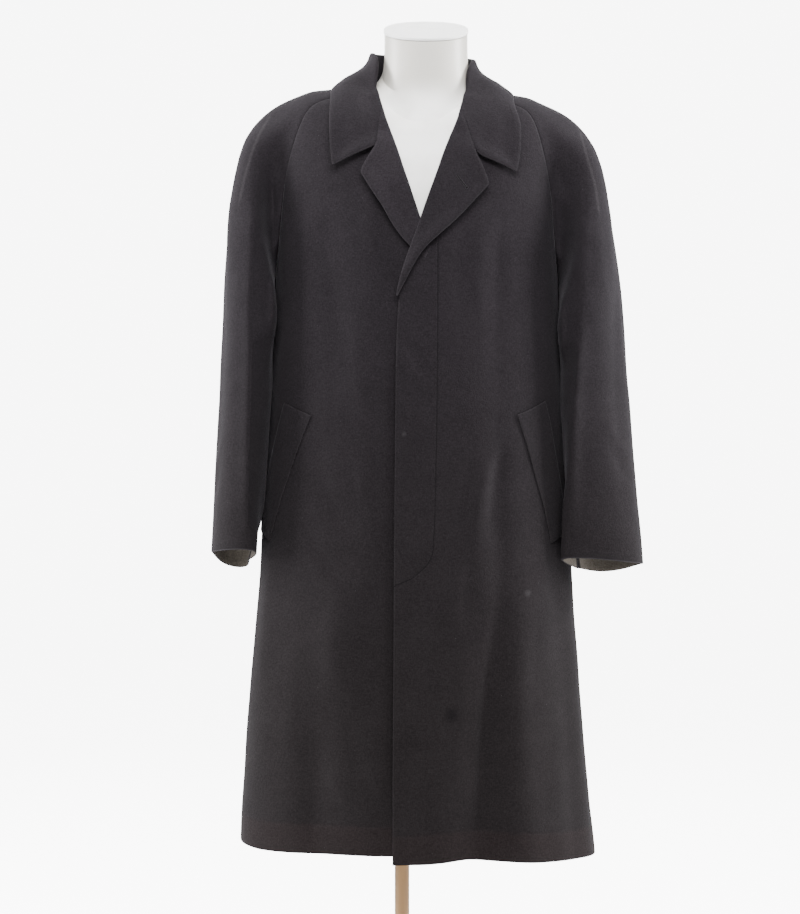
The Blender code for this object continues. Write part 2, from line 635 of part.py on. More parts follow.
def part_all_seams(panels, sleeves):
    """Open the gap at each seam between the panels and the sleeves."""
    upper = slice(0, len(YOKE_ROWS) - 1)
    lower = slice(len(YOKE_ROWS) - 1, None)
    last = INNER_COLUMNS + OUTER_COLUMNS
    for side, front, back_col in ((1, "over", 0), (-1, "under", BACK_COLUMNS)):
        sleeve = sleeves[side]
        part_seam((panels[front], last), (panels["back"], back_col), lower)
        part_seam((sleeve["front"], 0), (sleeve["back"], 2 * ARC_STEPS), lower)
        part_seam((sleeve["front"], 2 * ARC_STEPS), (sleeve["back"], 0), slice(None))
        part_seam((panels[front], last), (sleeve["front"], 0), upper)
        part_seam((panels["back"], back_col), (sleeve["back"], 2 * ARC_STEPS), upper)
        for half, col in (("front", 0), ("back", 2 * ARC_STEPS)):
            sleeve[half][0][len(YOKE_ROWS) - 1, col, 0] += side * UNDERARM_GAP


def build_body(parent):
    """The fronts, the back and the four sleeve pieces."""
    panels = panel_grids()
    sleeves = {}
    for side in (1, -1):
        points, normals = sleeve_grid(side)
        half = 2 * ARC_STEPS
        sleeves[side] = {
            "front": [points[:, :half + 1].copy(), normals[:, :half + 1].copy()],
            "back": [points[:, half:].copy(), normals[:, half:].copy()],
        }
    part_all_seams(panels, sleeves)
    pieces = {"front_left": panels["over"], "front_right": panels["under"], "back": panels["back"]}
    for side, word in ((1, "left"), (-1, "right")):
        for half in ("front", "back"):
            pieces[f"sleeve_{word}_{half}"] = sleeves[side][half]
    for name, (points, normals) in pieces.items():
        add_wall(name, points, points - WALL * normals, WOOL, parent)


# Lapels

def edge_frame(row, panel):
    """A point of a front's edge, its normal and the direction away from the panel."""
    point, normal = surface(row, edge_angle(row, panel), panel)
    along = cloth_place(row + .05, edge_angle(row + .05, panel), panel)
    along = unit(along - cloth_place(row - .05, edge_angle(row - .05, panel), panel))
    away = unit(np.cross(normal, along))
    if away[0] * side_of(panel) > 0:
        away = -away
    return point, normal, away, along


def lapel_line(roll_row, panel):
    """The start and end of a lapel's row, each an angle and a row of the front."""
    table = LAPELS[panel]
    x, z = (uneven_spline(column(table, "roll_row"), column(table, name), roll_row) for name in ("x", "z"))
    return np.array([float(edge_angle(roll_row, panel)), roll_row]), np.array(front_at(x, z))


def notch_bend(step, panel):
    """How far a lapel's top row is bent away from a straight line, to pass through the notch."""
    start, end = lapel_line(NECK_CUT_ROW, panel)
    bend = np.array(front_at(*NOTCHES[panel])) - mix(start, end, NOTCH_STEP)
    return bend * min(step / NOTCH_STEP, (1 - step) / (1 - NOTCH_STEP))


def lapel_layer(roll_row, panel):
    """Places and gaps of a lapel's upper layer, from the roll to the outer edge."""
    table = LAPELS[panel]
    knots = column(table, "roll_row")
    roll, middle, edge = (uneven_spline(knots, column(table, name), roll_row)
                          for name in ("roll_gap", "middle_gap", "edge_gap"))
    start, end = lapel_line(roll_row, panel)
    share = 1 - ramp(roll_row, NECK_CUT_ROW, NOTCH_REACH_ROW)
    places = [start]
    heights = [roll]
    for step in LAYER_STEPS:
        places.append(mix(start, end, step) + share * notch_bend(step, panel))
        heights.append(mix(roll, edge, step) + 4 * step * (1 - step) * (middle - (roll + edge) / 2))
    return places, heights


def roll_points(centre, away, normal, gap, turns):
    """The two sides of a rolled fold, facing side first, at angles from under it to over it."""
    facing = []
    behind = []
    for turn in turns:
        ray = -math.cos(turn) * normal + math.sin(turn) * away
        facing.append(centre + (FOLDED_WALL + gap / 2) * ray)
        behind.append(centre + gap / 2 * ray)
    return facing, behind


def build_lapel(name, panel, parent):
    """A lapel: the front edge rolled over and laid back on the front."""
    last_row = LAPELS[panel][-1].roll_row
    roll_rows = [NECK_CUT_ROW, 1.1, 1.4, 1.7] + [row for row in YOKE_ROWS if 2 <= row <= last_row]
    turns = [math.pi * step / ROLL_STEPS for step in range(ROLL_STEPS + 1)]
    facing_rows = []
    behind_rows = []
    for roll_row in roll_rows:
        point, normal, away, along = edge_frame(roll_row, panel)
        places, heights = lapel_layer(roll_row, panel)
        down = along * SEAM_GAP / 2 if roll_row == NECK_CUT_ROW else 0
        centre = point + away * SEAM_GAP + normal * heights[0] / 2 + down
        facing, behind = roll_points(centre, away, normal, heights[0], turns)
        for index in range(1, len(places)):
            place, outward = surface(places[index][1], places[index][0], panel)
            if roll_row == NECK_CUT_ROW:
                place = place + gorge_shift(places, index, panel, outward, -1)
            facing.append(place + outward * (heights[index] + FOLDED_WALL))
            behind.append(place + outward * heights[index])
        facing_rows.append(facing)
        behind_rows.append(behind)
    add_wall(name, np.array(facing_rows), np.array(behind_rows), WOOL, parent)


def gorge_shift(places, index, panel, normal, sign):
    """A small move across the gorge line: outwards for the collar, inwards for the lapel."""
    before = cloth_place(places[index - 1][1], places[index - 1][0], panel)
    here = cloth_place(places[index][1], places[index][0], panel)
    across = unit(np.cross(normal, unit(here - before)))
    if across[0] * side_of(panel) < 0:
        across = -across
    return sign * SEAM_GAP / 2 * across


# Collar

def neckline(seam):
    """A point of the neckline, its normal and the direction away from the coat."""
    point, normal = surface(0, seam, "plain")
    along = unit(cloth_place(0, seam + 1, "plain") - cloth_place(0, seam - 1, "plain"))
    return point, normal, np.cross(normal, along)


def neck_corner(col, panel):
    """The same where the neckline runs down into the front edge: col 0 is the edge itself."""
    def at(place):
        row = neck_cut(place)
        return row, column_angle(row, place, panel)
    point, normal = surface(*at(col), panel)
    along = unit(cloth_place(*at(col + .1), panel) - cloth_place(*at(max(col - .1, 0)), panel))
    return point, normal, unit(np.cross(normal, along)) * side_of(panel)


def collar_stations():
    """The collar's stations from its left front round the back to its right front."""
    ends = {}
    notch_index = 1 + LAYER_STEPS.index(NOTCH_STEP)
    for panel in ("over", "under"):
        places, heights = lapel_layer(NECK_CUT_ROW, panel)
        corner = float(column_angle(0, NECK_CUT_COLUMNS, panel))
        ends[panel] = Station(corner, 0, 0, heights[0], *places[notch_index], heights[notch_index],
                              *COLLAR_TIPS[panel])
    left = [COLLAR_LEFT[0]._replace(seam=ends["over"].seam), *COLLAR_LEFT[1:]]
    right = [*COLLAR_RIGHT[:-1], COLLAR_RIGHT[-1]._replace(seam=ends["under"].seam)]
    return [ends["over"], *left, COLLAR_BACK, *right, ends["under"]]


def collar_table():
    """All stations as numbers that can be blended, with their angles counted one way round."""
    table = []
    for station in collar_stations():
        row = list(station)
        for name in ("seam", "over_angle", "end_angle"):
            index = Station._fields.index(name)
            if len(table) > len(COLLAR_LEFT) + 1 and row[index] < 0:
                row[index] += 360
        table.append(row)
    return np.array(table, float)


def fall_points(start, leave, over, end):
    """Points down the collar's fall: a smooth curve from the roll over one point to the edge."""
    reach = np.linalg.norm(over - start)
    tangents = (leave * reach, (end - start) * .5, (end - over))
    points = []
    for first, second, out, into in ((start, over, tangents[0], tangents[1]), (over, end, tangents[1], tangents[2])):
        for step in (1, 2, 3):
            t = step / 3
            points.append((2 * t ** 3 - 3 * t ** 2 + 1) * first + (t ** 3 - 2 * t ** 2 + t) * out
                          + (3 * t ** 2 - 2 * t ** 3) * second + (t ** 3 - t ** 2) * into)
    return points


def collar_section(station, frame, blend):
    """Both sides of one section up to the roll, and the facing side of its fall."""
    point, normal, away = frame
    lean = math.radians(station.lean)
    rise = math.cos(lean) * away + math.sin(lean) * normal
    out = math.cos(lean) * normal - math.sin(lean) * away
    centre = point + (NECK_GAP + max(station.stand, LEAST_STAND)) * rise + station.gap / 2 * out
    foot = point + mix(NECK_GAP, SEAM_GAP, blend) * rise
    turns = [math.pi * step / ROLL_STEPS for step in range(ROLL_STEPS + 1)]
    facing, behind = roll_points(centre, rise, out, station.gap, turns)
    facing = [mix(foot - FOLDED_WALL * out, facing[0], share) for share in (0, .5)] + facing
    behind = [mix(foot, behind[0], share) for share in (0, .5)] + behind
    over, over_normal = surface(station.over_row, station.over_angle, "plain")
    end, end_normal = surface(station.end_row, station.end_angle, "plain")
    over = over + over_normal * (station.over_lift + FOLDED_WALL)
    end = end + end_normal * (station.end_lift + FOLDED_WALL)
    leave = unit(mix(-rise, unit(over - facing[-1]), blend))
    return facing + fall_points(facing[-1], leave, over, end), behind


def collar_end(panel):
    """The collar's end section along the gorge and its own front edge: both sides of the cloth."""
    point, normal, away, along = edge_frame(NECK_CUT_ROW, panel)
    places, heights = lapel_layer(NECK_CUT_ROW, panel)
    centre = point + away * SEAM_GAP + normal * heights[0] / 2 - along * SEAM_GAP / 2
    turns = [math.radians(turn) for turn in (0, 25, 50, 82, 115, 148, 180)]
    facing, behind = roll_points(centre, away, normal, heights[0], turns)
    notch_index = 1 + LAYER_STEPS.index(NOTCH_STEP)
    angle, row, lift = COLLAR_TIPS[panel]
    tip = np.array([angle, row])
    for index in range(1, notch_index + 1):
        place, outward = surface(places[index][1], places[index][0], panel)
        place = place + gorge_shift(places, index, panel, outward, 1)
        facing.append(place + outward * (heights[index] + FOLDED_WALL))
        behind.append(place + outward * heights[index])
    for share in (1 / 3, 2 / 3, 1):
        place, outward = surface(*mix(places[notch_index], tip, share)[::-1], panel)
        height = mix(heights[notch_index], lift, share)
        facing.append(place + outward * (height + FOLDED_WALL))
        behind.append(place + outward * height)
    return np.array(facing), np.array(behind)


def build_collar(parent):
    """The collar: stand and fall in one folded sheet."""
    table = collar_table()
    facing = []
    behind = []
    last = len(table) - 1
    for index, steps in enumerate(COLLAR_STEPS):
        for step in range(steps):
            at = index + step / steps
            station = Station(*spline(table, at))
            frame = neckline(mix(table[index][0], table[index + 1][0], step / steps))
            blend = 0
            if index in (0, last - 1):
                col = NECK_CUT_COLUMNS * (at if index == 0 else last - at)
                frame = neck_corner(col, "over" if index == 0 else "under")
                blend = 1 - col / NECK_CUT_COLUMNS
            section = collar_section(station, frame, blend)
            facing.append(section[0])
            behind.append(section[1])
    ends = {0: collar_end("over"), -1: collar_end("under")}
    facing = np.array(facing + [facing[-1]])
    for index, (side, _) in ends.items():
        facing[index] = side
    rolled = len(behind[0])
    normals = unit(np.cross(np.gradient(facing, axis=1), np.gradient(facing, axis=0)))
    under_side = facing - FOLDED_WALL * normals
    under_side[:-1, :rolled] = behind
    for index, (_, side) in ends.items():
        under_side[index] = side
    add_wall("collar", facing, under_side, WOOL, parent)


# Pockets

def build_welt(name, panel, parent, front):
    """A pocket welt lying on the faces of a front panel."""
    welt = WELTS[panel]
    depsgraph = bpy.context.evaluated_depsgraph_get()
    tree = BVHTree.FromObject(front, depsgraph)
    facing = np.zeros((WELT_ROWS + 1, WELT_COLUMNS + 1, 3))
    behind = np.zeros_like(facing)
    rows = np.linspace(UNDERARM_ROW, HEM_ROW, 200)
    for i in range(WELT_ROWS + 1):
        for j in range(WELT_COLUMNS + 1):
            down = i / WELT_ROWS
            across = j / WELT_COLUMNS
            top = mix(welt.front_angle, welt.back_angle, across), mix(welt.front_z, welt.back_z, across)
            low = (mix(welt.low_front_angle, welt.low_back_angle, across),
                   mix(welt.low_front_z, welt.low_back_z, across))
            angle = mix(top[0], low[0], down)
            z = mix(top[1], low[1], down)
            heights = cloth_place(rows, angle, panel)[:, 2]
            row = np.interp(-z, -heights, rows)
            point, normal = surface(row, angle, panel)
            hit = tree.ray_cast(point + normal * .02, -normal)[0]
            facing[i, j] = np.array(hit) + normal * (WELT_GAP + WELT_WALL)
            behind[i, j] = np.array(hit) + normal * WELT_GAP
    add_wall(name, facing, behind, WOOL, parent)


# Form and stand

def level_ring(level, middle_y=0.0):
    """A ring of the form from its heights and half widths."""
    turn = np.radians(np.arange(FORM_COLUMNS) * 360 / FORM_COLUMNS)
    sine = np.sin(turn)
    cosine = np.cos(turn)
    power = 2 / SQUARENESS
    depth = np.where(cosine > 0, level.chest, level.rear)
    x = FORM_X + level.half * np.sign(sine) * np.abs(sine) ** power
    y = middle_y - depth * np.sign(cosine) * np.abs(cosine) ** power
    end = np.where(cosine > 0, level.front, level.back)
    return np.stack([x, y, level.side + (end - level.side) * np.abs(cosine) ** power], -1)


def yoke_ring(row):
    """A ring of the form just inside the coat."""
    angles = np.arange(FORM_COLUMNS) * 360 / FORM_COLUMNS
    points = ring_place(row, angles, "plain")
    normals = normals_of(ring_place, row, angles, "plain")
    middle = spline(column(CLEARANCES, "middle"), row)
    side = spline(column(CLEARANCES, "side"), row)
    clearance = mix(side, middle, np.cos(np.radians(angles)) ** 2)
    return points - normals * (WALL + clearance)[:, None]


def build_form(parent):
    """The torso form and the cap on its neck."""
    rings = [level_ring(level, NECK_Y) for level in NECK_LEVELS]
    root = yoke_ring(0)
    middle = np.array([FORM_X, NECK_Y, 0])
    root = middle * (1 - NECK_ROOT) + root * [NECK_ROOT, NECK_ROOT, 1]
    rings.append(root)
    rings += [yoke_ring(row) for row in FORM_ROWS]
    rings += [level_ring(level) for level in TORSO_LEVELS]
    add_loft("torso_form", rings, SHELL, parent)
    top = NECK_LEVELS[0]
    slope = unit(np.array([0, -(top.back - top.front), 2 * top.chest]))
    middle = rings[0].mean(0)
    lower = middle + (rings[0] - middle) * (1 + CAP_OVERHANG / top.half) + slope * SEAM_GAP
    upper = lower + slope * CAP_THICKNESS
    add_loft("neck_cap", [upper, lower], CAP, parent)


def build_stand():
    """The pole, the socket under the torso and the round base."""
    base = [(0, 0), *BASE_PROFILE, (BASE_PROFILE[-1][0], BASE_WELL), (0, BASE_WELL)]
    add_turned("stand_base", base, STEEL)
    socket = [*SOCKET_PROFILE, (SOCKET_PROFILE[-1][0], SOCKET_PROFILE[0][1])]
    add_turned("pole_socket", socket, STEEL, TORSO_BOTTOM)
    low = BASE_WELL + SEAM_GAP
    high = TORSO_BOTTOM - SEAM_GAP
    add_turned("pole", [(0, low), (POLE_RADIUS, low), (POLE_RADIUS, high), (0, high)], WOOD)


def main():
    for item in list(bpy.data.objects):
        bpy.data.objects.remove(item, do_unlink=True)
    collection = bpy.data.collections.new("wool_overcoat")
    bpy.context.scene.collection.children.link(collection)
    place = bpy.data.objects.new("coat_place", None)
    place.location = (COAT_X, 0, 0)
    collection.objects.link(place)
    build_body(place)
    build_lapel("lapel_left", "over", place)
    build_lapel("lapel_right", "under", place)
    build_collar(place)
    bpy.context.view_layer.update()
    build_welt("pocket_welt_left", "over", place, bpy.data.objects["front_left"])
    build_welt("pocket_welt_right", "under", place, bpy.data.objects["front_right"])
    build_form(place)
    build_stand()


main()
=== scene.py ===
"""The finish of a wool raglan overcoat on a limbless dress form.

Every piece of cloth is a smooth quad copy of its CAD wall. One field of soft troughs and ridges moves all
the copies, so that fronts, lapels, collar and pockets stay together. Metres, +Z up, front towards -Y.
"""
import functools
import math
from collections import namedtuple

import bmesh
import bpy
import numpy as np
from bpy.props import FloatProperty, FloatVectorProperty, IntProperty, PointerProperty
from mathutils import Matrix, Vector
from mathutils.bvhtree import BVHTree
from mathutils.kdtree import KDTree


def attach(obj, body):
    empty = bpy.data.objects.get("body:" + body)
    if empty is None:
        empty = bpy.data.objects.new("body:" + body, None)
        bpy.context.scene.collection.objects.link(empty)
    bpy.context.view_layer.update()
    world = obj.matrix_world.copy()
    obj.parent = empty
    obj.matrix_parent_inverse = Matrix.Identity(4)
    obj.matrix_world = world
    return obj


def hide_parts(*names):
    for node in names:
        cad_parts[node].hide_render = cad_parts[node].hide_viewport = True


bl_info = {
    "name": "Wool overcoat on a dress form",
    "version": (1, 0, 0),
    "blender": (4, 5, 0),
    "location": "3D View > Sidebar > Overcoat",
    "description": "Builds the cloth, form, stand and studio of an overcoat around its CAD frame",
    "category": "Object",
}

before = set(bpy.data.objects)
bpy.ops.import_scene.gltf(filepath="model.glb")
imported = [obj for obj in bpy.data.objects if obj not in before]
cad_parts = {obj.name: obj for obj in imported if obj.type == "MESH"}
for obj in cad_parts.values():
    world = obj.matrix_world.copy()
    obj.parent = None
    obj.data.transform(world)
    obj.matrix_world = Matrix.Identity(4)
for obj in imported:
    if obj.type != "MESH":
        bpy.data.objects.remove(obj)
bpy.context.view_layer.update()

# Where things are
COAT_X = .0257                # the coat's middle
COAT_HALF = (.205, .135)      # half width and half depth that set which way is outwards
SHOULDER_Z = 1.15             # above this the way outwards turns up over the shoulders
SHOULDER_REACH = .27
SLEEVE_NODES = {
    "left": ("sleeve_left_front", "sleeve_left_back"),
    "right": ("sleeve_right_front", "sleeve_right_back"),
}
# The middle of each sleeve at a height
Middle = namedtuple("Middle", "z x y")
SLEEVE_MIDDLES = {
    "left": (Middle(.730, .277, -.034), Middle(.864, .273, -.020), Middle(1.015, .269, -.008),
             Middle(1.170, .264, -.003), Middle(1.300, .246, .000)),
    "right": (Middle(.730, -.233, -.034), Middle(.864, -.228, -.020), Middle(1.015, -.222, -.008),
              Middle(1.170, -.217, -.003), Middle(1.300, -.205, .000)),
}
SLEEVE_RADIUS = .062

# Creases of the fronts and of the back, seen from the front: a start and an end, the width to each side
# and the height, which is a trough if negative.
Crease = namedtuple("Crease", "x z x_end z_end width height")
FRONT_CREASES = [Crease(*row) for row in (
    (-.096, 1.235, -.088, 1.090, .017, -.0014), (-.126, 1.215, -.122, 1.060, .014, .0012),
    (-.090, 1.110, -.066, .985, .013, -.0016), (-.066, 1.060, -.052, .940, .012, .0010),
    (-.108, .880, -.060, .820, .011, .0018), (-.122, .852, -.066, .778, .010, -.0018),
    (-.058, .868, -.040, .798, .010, .0012), (-.136, .782, -.074, .700, .012, -.0022),
    (-.128, .742, -.060, .684, .012, .0018), (-.104, .660, -.062, .560, .026, .0022),
    (-.126, .620, -.118, .420, .024, -.0014), (-.098, .452, -.048, .388, .016, .0022),
    (-.072, .520, -.030, .410, .018, -.0014), (-.006, 1.040, .036, .965, .008, .0015),
    (.000, 1.060, .042, .985, .007, -.0011), (.088, 1.215, .084, 1.060, .016, -.0014),
    (.112, 1.200, .114, 1.050, .013, .0013), (.138, 1.210, .136, 1.070, .012, -.0011),
    (.122, .880, .100, .735, .011, .0024), (.140, .900, .124, .760, .011, -.0024),
    (.096, .880, .080, .770, .010, -.0018), (.104, .760, .090, .640, .014, -.0016),
    (.128, .660, .106, .360, .010, -.0034), (.152, .640, .128, .380, .022, .0022),
    (.040, .560, .052, .350, .026, .0010), (.200, .700, .196, .380, .022, -.0016),
    (-.196, .700, -.190, .420, .022, .0014),
)]
BACK_CREASES = [Crease(*row) for row in (
    (-.112, 1.245, -.098, 1.080, .018, -.0018), (-.080, 1.235, -.074, 1.060, .014, .0013),
    (.150, 1.240, .132, 1.090, .017, -.0018), (.116, 1.220, .108, 1.050, .014, .0014),
    (.020, 1.200, .028, 1.020, .020, -.0012), (-.130, .930, -.070, .860, .012, .0020),
    (-.120, .892, -.052, .815, .011, -.0019), (.170, .920, .120, .845, .012, .0021),
    (.150, .870, .096, .800, .011, -.0018), (-.030, .850, -.016, .640, .020, .0022),
    (.070, .760, .086, .560, .020, -.0020), (-.120, .700, -.130, .400, .018, .0026),
    (.170, .680, .182, .380, .018, .0026),
)]

# Longer lines, seen from the front: their points from the top down, their half widths to the left and to the
# right as seen, and their height, which is a trough if negative
Line = namedtuple("Line", "points left right height")
FRONT_LINES = {
    "front_left": (
        Line(((-.0020, 1.125), (-.0055, 1.095), (-.0096, .958), (-.0122, .685), (-.0122, .310)),
             .0075, .0075, .0021),
    ),
    "front_right": (
        Line(((-.0050, 1.110), (-.0105, .958), (-.0140, .685), (-.0140, .310)), .0090, .0110, -.0038),
    ),
}
# Lines that fronts and sleeves share: the trough where a sleeve folds in beside the body, the body's ridge
# next to it and the crease down the sleeve's front
FOLD_LINES = (
    Line(((-.1890, 1.310), (-.1830, 1.261), (-.1815, 1.233), (-.1825, 1.198), (-.1845, 1.156),
          (-.1860, 1.093), (-.1870, 1.030)), .016, .0052, -.0062),
    Line(((-.1700, 1.260), (-.1690, 1.200), (-.1715, 1.150), (-.1735, 1.050), (-.1780, .970)),
         .006, .018, .0024),
    Line(((-.2000, 1.300), (-.2059, 1.237), (-.2087, 1.168), (-.2115, 1.098), (-.2143, .959),
          (-.2171, .740)), .012, .0060, .0030),
    Line(((.2150, 1.270), (.2185, 1.230), (.2224, 1.184), (.2275, 1.114), (.2290, 1.044), (.2308, .960)),
         .0052, .014, -.0058),
    Line(((.2000, 1.250), (.2070, 1.170), (.2120, 1.100), (.2130, 1.016), (.2140, .950)), .018, .006, .0024),
    Line(((.2545, 1.270), (.2504, 1.205), (.2476, 1.142), (.2462, 1.044), (.2392, .904), (.2322, .750)),
         .0060, .012, .0030),
)
# The line of painted highlight along each sleeve's pressed overarm seam over the shoulder, seen from the
# front
SHOULDER_HIGHLIGHT_LINES = {
    "left": ((.2520, 1.338), (.2600, 1.300), (.2695, 1.262), (.2750, 1.225)),
    "right": ((-.1880, 1.362), (-.2000, 1.338), (-.2110, 1.306), (-.2210, 1.268), (-.2260, 1.240)),
}

# Creases of the sleeves. turn is counted from the front outwards, in degrees, so 90 faces away from the
# coat, 180 faces back and 270 faces the coat.
Wrinkle = namedtuple("Wrinkle", "turn z turn_end z_end width height")
SLEEVE_WRINKLES = {
    "left": [Wrinkle(*row) for row in (
        (44, 1.190, 46, .790, .026, -.0042), (18, 1.240, 24, 1.090, .010, -.0016),
        (-8, 1.200, 2, 1.050, .009, .0012), (66, 1.120, 84, .980, .014, -.0014),
        (10, .930, 60, .880, .012, .0013), (12, .900, 62, .845, .012, -.0013),
        (150, 1.080, 205, 1.000, .014, -.0026), (146, 1.030, 210, .950, .013, .0024),
        (150, .960, 214, .900, .013, -.0022), (124, 1.180, 150, 1.080, .014, .0018),
        (262, .980, 285, .880, .014, .0016),
    )],
    "right": [Wrinkle(*row) for row in (
        (44, 1.190, 46, .790, .026, -.0042), (14, 1.230, 18, 1.080, .010, -.0014),
        (58, 1.100, 74, .960, .014, -.0015), (24, .905, 70, .850, .012, .0014),
        (22, .870, 66, .820, .012, -.0012), (148, 1.070, 206, .985, .014, -.0026),
        (150, 1.015, 208, .935, .013, .0024), (146, .950, 210, .885, .013, -.0020),
        (126, 1.190, 152, 1.090, .014, .0018), (260, .960, 288, .860, .014, .0016),
    )],
}

# Waves of the cloth that are wider than a crease: a direction, a length and a height
Wave = namedtuple("Wave", "x y z length height phase")
WAVES = (
    Wave(.8, .5, .3, .145, .00026, .4),
    Wave(-.5, .8, .45, .118, .00022, 2.1),
    Wave(.3, -.6, .9, .098, .00018, 4.0),
    Wave(.7, .2, -.8, .071, .00014, 1.2),
    Wave(-.2, .9, -.7, .057, .00011, 5.3),
)

# The stitched line of the fly, across the over front and down round its corner
FLY_LINE = ((.0490, 1.175), (.0487, 1.080), (.0470, .903), (.0442, .790), (.0423, .752), (.0395, .741),
            (.0312, .729), (.0148, .7145), (-.0086, .7037), (-.0400, .6900))

# Marks on the over front, with a place, a radius and a strength: a painted highlight, a pale lint mark and a
# dark mark
Mark = namedtuple("Mark", "x z radius strength")
MARKS = (
    # painted highlight: the shine where a button beneath presses the cloth out
    Mark(.0025, .9115, .0046, .16),
    Mark(.1735, .6925, .0064, .20),
    Mark(.0680, .5280, .0140, -.60),
)

# The pieces laid flat
Flat = namedtuple("Flat", "width length area")
CUTS = {
    "front_left": Flat(.42, 1.12, .318), "front_right": Flat(.42, 1.12, .325), "back": Flat(.66, 1.13, .606),
    "sleeve_left_front": Flat(.24, .88, .136), "sleeve_left_back": Flat(.22, .88, .124),
    "sleeve_right_front": Flat(.24, .87, .131), "sleeve_right_back": Flat(.22, .87, .124),
    "collar": Flat(.52, .13, .058), "lapel_left": Flat(.11, .25, .0118), "lapel_right": Flat(.10, .21, .0092),
    "pocket_welt_left": Flat(.060, .190, .0104), "pocket_welt_right": Flat(.060, .190, .0104),
}


# Sizes and colours that a user would change

def colour_setting(name, about, default):
    """A colour in a settings group."""
    return FloatVectorProperty(name=name, description=about, subtype="COLOR", default=default, min=0, max=1)


def length_setting(name, about, default, low, high, precision=2):
    """A length in a settings group."""
    return FloatProperty(name=name, description=about, default=default, min=low, max=high, unit="LENGTH",
                         precision=precision)


def share_setting(name, about, default, high=1):
    """A strength in a settings group."""
    return FloatProperty(name=name, description=about, default=default, min=0, max=high, subtype="FACTOR")


class WoolSettings(bpy.types.PropertyGroup):
    """The coat's cloth."""
    colour: colour_setting("Wool", "Colour of the napped wool", (.0102, .0086, .0102))
    # partly a paler lining, partly painted light bounced up from the floor into the cuffs
    inner_colour_and_bounce: colour_setting("Inside", "Colour of the cloth's inner side", (.13, .115, .098))
    nap_size: length_setting("Nap", "Size of the nap's tufts", .0016, .0003, .01)
    nap_height: length_setting("Nap height", "Height of the nap's tufts", .00034, 0, .002, 5)
    sheen: share_setting("Sheen", "Strength of the fuzz seen edge on", .04)


class DrapeSettings(bpy.types.PropertyGroup):
    """How the cloth falls."""
    creases: share_setting("Creases", "Depth of the creases", 1, 3)
    waves: share_setting("Waves", "Height of the broad unevenness", 1, 3)
    fine_levels: IntProperty(name="Fine levels", description="Subdivisions of the fronts and sleeves",
                             default=3, min=1, max=3)
    plain_levels: IntProperty(name="Plain levels", description="Subdivisions of the other cloth",
                              default=2, min=1, max=3)
    edge_round: length_setting("Edge rounding", "Rounding of the cloth's cut edges", .0005, .0001, .0009, 4)


class SewingSettings(bpy.types.PropertyGroup):
    """Stitches and the buttonhole."""
    stitch_length: length_setting("Stitch", "Length of a stitch of the fly's line", .0032, .001, .01, 4)
    groove_width: length_setting("Groove", "Half width of the stitches' groove", .0011, .0003, .004, 4)
    groove_depth: length_setting("Groove depth", "Depth of the groove", .0009, 0, .002, 4)
    thread_colour: colour_setting("Buttonhole thread", "Colour of the twist", (.0210, .0190, .0212))
    thread_radius: length_setting("Thread radius", "Radius of the buttonhole's twist", .00026, .0001, .001, 5)


class FormSettings(bpy.types.PropertyGroup):
    """The dress form and its stand."""
    shell_colour: colour_setting("Shell", "Colour of the torso", (.90, .89, .87))
    cap_colour: colour_setting("Cap", "Colour of the neck cap", (.80, .80, .79))
    wood_colour: colour_setting("Pole", "Colour of the wooden pole", (.31, .17, .062))
    steel_colour: colour_setting("Steel", "Colour of the base", (.62, .62, .61))


class StageSettings(bpy.types.PropertyGroup):
    """The floor, the lights and the camera."""
    floor_colour: colour_setting("Floor", "Colour of the floor", (.50, .50, .50))
    air: FloatProperty(name="Air", description="Light that the surroundings give", default=.22, min=0, max=10)
    paleness: FloatProperty(name="Paleness", description="Brightness of the floor and the air as seen",
                            default=8, min=0, max=20)
    camera_distance: length_setting("Distance", "Camera distance", 3.2, 1, 10)
    camera_height: length_setting("Height", "Camera height", .88, 0, 3)
    camera_x: length_setting("Side", "Camera place along X", -.0029, -1, 1, 4)
    lens: FloatProperty(name="Lens", description="Focal length", default=88.14, min=20, max=200,
                        unit="CAMERA")
    light_power: share_setting("Lights", "Power of all the lights", 1, 5)


# Curves and vectors

FALL = 1.6                    # how fast a crease or a line falls off to its sides
CREASE_BEND = .6              # how far a crease bows, in its widths
CREASE_SIDES = (.8, 1.25)     # how wide it is on the side it bows to and on the other, in its widths
CREASE_RISE = (-.22, .35)     # where along its run it swells, and from its end where it fades
CREASE_FADE = (-.22, .45)
LINE_RISE = (0, .22)          # the same for both ends of a line


def ramp(value, start, end):
    """A smooth rise from 0 at start to 1 at end."""
    t = np.clip((value - start) / (end - start), 0, 1)
    return t * t * (3 - 2 * t)


def unit(vectors):
    """Vectors made one long."""
    return vectors / np.maximum(np.linalg.norm(vectors, axis=-1, keepdims=True), 1e-9)


def along_segment(u, v, start, end):
    """Each point's share of the way along a segment, and its signed distance from the line."""
    run = np.array([end[0] - start[0], end[1] - start[1]])
    length = np.hypot(*run)
    run = run / length
    du = u - start[0]
    dv = v - start[1]
    return (du * run[0] + dv * run[1]) / length, du * run[1] - dv * run[0]


def crease_height(u, v, crease, u_scale=1.0):
    """The height of one soft trough or ridge, which swells and fades along its run."""
    start = (crease[0] * u_scale, crease[1])
    end = (crease[2] * u_scale, crease[3])
    share, off = along_segment(u * u_scale, v, start, end)
    bend = CREASE_BEND * crease.width * np.sin(np.clip(share, 0, 1) * math.pi)
    side = np.where(off > bend, *CREASE_SIDES) * crease.width
    swell = ramp(share, *CREASE_RISE) * ramp(1 - share, *CREASE_FADE)
    return crease.height * swell * np.exp(-((off - bend) / side) ** 2 * FALL)


# The way the cloth falls

FOLDED = ("collar", "lapel_left", "lapel_right")

